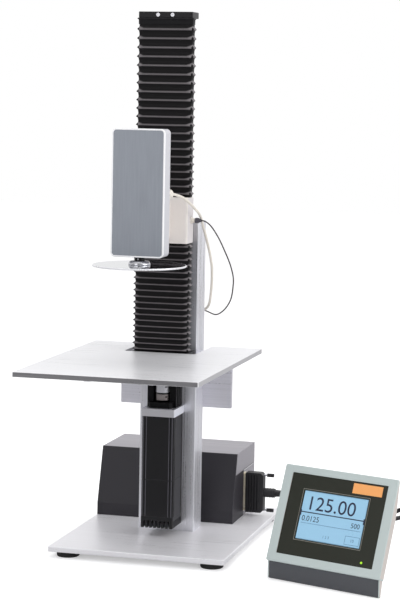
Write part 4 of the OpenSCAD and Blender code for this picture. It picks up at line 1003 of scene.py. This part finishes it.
DOME = 7
HUB_FOOT, HUB_IN = 0.8, 0.4
RIM_IN, RIM_WIDE, RIM_TALL = 1.3, 1.6, 1.55
hub_low, hub_high = node_span("disc_hub")
hub_r, hub_h = (hub_high[0] - hub_low[0]) / 2, hub_high[2] - hub_low[2]
dome = [(hub_r - DOME + DOME * math.sin(a), hub_low[2] + HUB_FOOT + (hub_h - HUB_FOOT) * math.cos(a))
        for a in np.radians(np.arange(0, 91, 10))]
hub = turned("domed hub", dome + [(hub_r - HUB_IN, hub_low[2])], steel, "carriage")
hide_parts("disc_hub")
rim_r, rim_z = (disc_high[0] - disc_low[0]) * 500, (disc_high[2] + disc_low[2]) * 500
rim = [(rim_r - RIM_IN + RIM_WIDE * math.cos(a), rim_z + RIM_TALL * math.sin(a))
       for a in np.radians(np.arange(180, -181, -30))]
turned("disc rim", rim, pale_highlight, "carriage", caps=False)
print("hub", round(hub_r, 1), "mm and rim", round(rim_r, 1), "mm in radius")

# %% [markdown]
# ## Ribs and grooves
# The motor's front has four upright ribs in two lengths, whose walls catch the light; they are
# painted grey as a highlight. The connector's hood has four grooves, painted dark as shade. They
# could be cut into the solids; as they are less than half a millimetre deep, thin bars laid on the
# faces look the same. Each bar is sunk a little into its face.


# %% Ribs and grooves
def bar(name, low, high, material, body="root"):
    """A box between its lowest and its highest corner."""
    plan = rectangle(low[0], low[1], high[0], high[1])
    first, second = (np.column_stack([plan, np.full(4, z)]) for z in (low[2], high[2]))
    return prism(name, first, second, material, body)


RIBS_AT, RIB_HALF, RIB_OUT, RIB_SUNK = (-25.2, -20, 20, 25.2), 0.6, 0.35, 0.5
GROOVES_AT, GROOVE_HALF, GROOVE_OUT, GROOVE_SUNK, GROOVE_END = (6, 11, 16, 21), 0.7, 0.12, 0.3, 4
motor_low, motor_high = node_span("motor_body")
rib_parts = (("lower", 0.5, 61.5), ("upper", 63.5, motor_high[2] - motor_low[2] - 0.5))
for i, x in enumerate(RIBS_AT):
    for part, low, high in rib_parts:
        bar(f"motor rib {i} {part}", (x - RIB_HALF, motor_low[1] - RIB_OUT, motor_low[2] + low),
            (x + RIB_HALF, motor_low[1] + RIB_SUNK, motor_low[2] + high), rib_highlight)
# The hood's grooves are dark bars: painted shade in the grooves.
for i, x in enumerate(GROOVES_AT):
    groove_x = hood_low[0] + x
    bar(f"hood groove {i}",
        (groove_x - GROOVE_HALF, hood_low[1] - GROOVE_OUT, hood_low[2] + GROOVE_END),
        (groove_x + GROOVE_HALF, hood_low[1] + GROOVE_SUNK, hood_high[2] - GROOVE_END),
        bell_black)
print("ribs on the motor and grooves on the hood laid")

# %% [markdown]
# ## Side of the control box
# The charcoal base of the box reaches further up on its right side than the solid shows, up to a
# seam with a pale line under it, a painted highlight. Recolouring the solid's faces can't follow
# the seam, so a thin panel with the side's outline covers that part.

# %% Side panel and seam
# A dark seam 1 mm high at BOX_SEAM, and a pale line 1.2 mm high under it, a painted highlight.
BOX_SEAM = 100.6
SEAM_LENGTH = 74
LEAN, FOOT = 27.0, 21.5
PANEL_OUT, PANEL_SUNK = 0.35, 0.2
base_low, base_high = node_span("box_base")
box_right = node_span("box_cover")[1][0]
socket_front = node_span("port_socket")[0][1]
# The panel starts 3 mm behind the box's front and just above its underside.
panel_front, panel_low = base_low[1] + 3, base_low[2] + 0.2
slope = LEAN / (base_high[2] - base_low[2] - FOOT)
seam_y = panel_front + slope * (BOX_SEAM - base_low[2] - FOOT)
side = np.array([(panel_front, panel_low), (socket_front, panel_low), (socket_front, BOX_SEAM),
                 (seam_y, BOX_SEAM), (panel_front, base_low[2] + FOOT)])
inside, outside = (np.column_stack([np.full(len(side), box_right + x), side])
                   for x in (-PANEL_SUNK, PANEL_OUT))
prism("box side panel", inside, outside, box_dark)
seam_end = socket_front + SEAM_LENGTH
bar("box seam", (box_right - PANEL_SUNK, socket_front, BOX_SEAM - 0.5),
    (box_right + 0.15, seam_end, BOX_SEAM + 0.5), box_dark)
bar("box seam highlight", (box_right - PANEL_SUNK, socket_front, BOX_SEAM - 1.8),
    (box_right + 0.25, seam_end, BOX_SEAM - 0.6), pale_highlight)
print("side panel reaches from", round(panel_front, 1), "to", round(socket_front, 1), "mm")

# %% [markdown]
# ## Bead of the head
# A white bead frames the head's grey front plate. It could be a bevelled curve; here a small
# rounded profile is carried round the plate's outline, so that its corners follow the plate's.

# %% Head bead
BEAD_CORNER = 7
BEAD_PROFILE = ((-0.3, -3.0), (-0.3, -0.1), (0.1, 0.4), (0.8, 0.6), (1.7, 0.4), (2.1, -0.1))


def rounded_outline(low, high, inset, corner):
    """Points round a rectangle with rounded corners in the plane of the head's front (x, z)."""
    left, right = low[0] + inset + corner, high[0] - inset - corner
    bottom, top = low[2] + inset + corner, high[2] - inset - corner
    corners = ((right, top, 0), (left, top, 90), (left, bottom, 180), (right, bottom, 270))
    return np.vstack([quarter((x, z), corner, start, 7) for x, z, start in corners])


front_low, front_high = node_span("head_front")
bead = []
for inset, out in BEAD_PROFILE:
    ring = rounded_outline(front_low, front_high, inset, BEAD_CORNER - inset)
    bead.append(np.column_stack([ring[:, 0], np.full(len(ring), front_low[1] - out), ring[:, 1]]))
belong(grid_mesh("head bead", np.array(bead), head_rim, wrap=True), "carriage")
print("bead has", len(bead), "rings of", len(bead[0]), "points")

# %% [markdown]
# ## Lamps
# The photograph is a studio picture: a large light from the right makes the right-hand faces
# bright, a weak one in front keeps the fronts readable, and one from above lights table and
# base. A sun would do the same with hard shadows; square lamps give the soft ones of a studio.


# %% Lamps
def area_lamp(name, at_mm, target_mm, size, power):
    """A square lamp that faces a target."""
    data = bpy.data.lights.new(name, "AREA")
    data.shape = "SQUARE"
    data.size = size
    data.energy = power
    lamp = bpy.data.objects.new(name, data)
    bpy.context.collection.objects.link(lamp)
    start, goal = place(at_mm), place(target_mm)
    away = start - goal
    away /= np.linalg.norm(away)
    across = np.cross([0, 0, 1.0], away)
    across /= np.linalg.norm(across)
    turn = np.eye(4)
    turn[:3] = np.column_stack([across, np.cross(away, across), away, start])
    lamp.matrix_world = Matrix(turn.tolist())
    return lamp


area_lamp("key", (2600, -500, 1500), (50, -100, 400), size=1.8, power=25)
area_lamp("fill", (-900, -2600, 1500), (50, -100, 400), size=1.6, power=14)
area_lamp("top", (200, 300, 2600), (50, -100, 0), size=2.4, power=23)

# %% [markdown]
# ## Room
# The room is a pale tent that is open towards the camera: what shines on the fronts is dimmer than
# what shines on the top and the right, so the fronts are darker, as in the photograph. A picture
# of a studio could light it, but three clamped directions say the same. Rays from the camera see
# plain white.

# %% Room
world = bpy.data.worlds.new("studio")
bpy.context.scene.world = world
world.use_nodes = True
room = world.node_tree
ambient = room.nodes["Background"]
rays = room.nodes.new("ShaderNodeLightPath")
sky = room.nodes.new("ShaderNodeTexCoord")
axes = room.nodes.new("ShaderNodeSeparateXYZ")
room.links.new(sky.outputs["Generated"], axes.inputs[0])
rightward, frontward, overhead = (
    math_node(room, "MULTIPLY", axes.outputs[axis], sign, clamp=True)
    for axis, sign in (("X", 1.0), ("Y", -1.0), ("Z", 1.0)))


def tent(base, front, right, top):
    """Strength of the tent in a direction: a base plus a share of each clamped axis."""
    total = math_node(room, "ADD", math_node(room, "MULTIPLY", frontward, front), base)
    total = math_node(room, "ADD", total, math_node(room, "MULTIPLY", rightward, right))
    return math_node(room, "ADD", total, math_node(room, "MULTIPLY", overhead, top), clamp=True)


soft = tent(base=0.40, front=0.03, right=0.0, top=0.46)
mirrored = tent(base=0.92, front=-0.88, right=0.5, top=0.1)
glossy = rays.outputs["Is Glossy Ray"]
dull = math_node(room, "MULTIPLY", soft, math_node(room, "SUBTRACT", 1.0, glossy))
lit = math_node(room, "ADD", dull, math_node(room, "MULTIPLY", mirrored, glossy))
shown = math_node(room, "MAXIMUM", rays.outputs["Is Camera Ray"], rays.outputs["Is Transmission Ray"])
ambient.inputs["Color"].default_value = (1.0, 1.0, 1.0, 1)
room.links.new(math_node(room, "MAXIMUM", shown, lit), ambient.inputs["Strength"])
print("room has", len(room.nodes), "nodes")

# %% [markdown]
# ## Bench
# The machine stands on white, with a soft shadow under it. A white sheet lit to the full would
# light the machine from below, so the bench is pale by its own colour and glows for the camera,
# with a fifth of that in reflections, where its colour is darker too, as in the photograph.

# %% Bench
BENCH_PALE, BENCH_MIRRORED = (0.86, 0.86, 0.87, 1), (0.36, 0.36, 0.37, 1)
BENCH_GLOW, MIRRORED_GLOW = 0.4, 0.2
SIDE = 9000.0
bench_material = bpy.data.materials.new("bench")
bench_material.use_nodes = True
tree = bench_material.node_tree
shader = tree.nodes["Principled BSDF"]
rays = tree.nodes.new("ShaderNodeLightPath")
mirror = rays.outputs["Is Glossy Ray"]
colour = tree.nodes.new("ShaderNodeMix")
colour.data_type = "RGBA"
colour.inputs["A"].default_value = BENCH_PALE
colour.inputs["B"].default_value = BENCH_MIRRORED
tree.links.new(mirror, colour.inputs["Factor"])
tree.links.new(colour.outputs["Result"], shader.inputs["Base Color"])
shader.inputs["Roughness"].default_value = 0.7
shader.inputs["Emission Color"].default_value = (1, 1, 1, 1)
seen = math_node(tree, "MAXIMUM", rays.outputs["Is Camera Ray"], rays.outputs["Is Transmission Ray"])
seen = math_node(tree, "MAXIMUM", seen, math_node(tree, "MULTIPLY", mirror, MIRRORED_GLOW))
tree.links.new(math_node(tree, "MULTIPLY", seen, BENCH_GLOW), shader.inputs["Emission Strength"])
corners = np.column_stack([rectangle(-SIDE, -SIDE, SIDE, SIDE), np.zeros(4)])
bench = add_mesh("bench top", corners, [(0, 1, 2, 3)], bench_material, smooth=False)
bpy.context.scene.view_settings.view_transform = "Standard"
print("bench is", 2 * SIDE / 1000, "m wide")
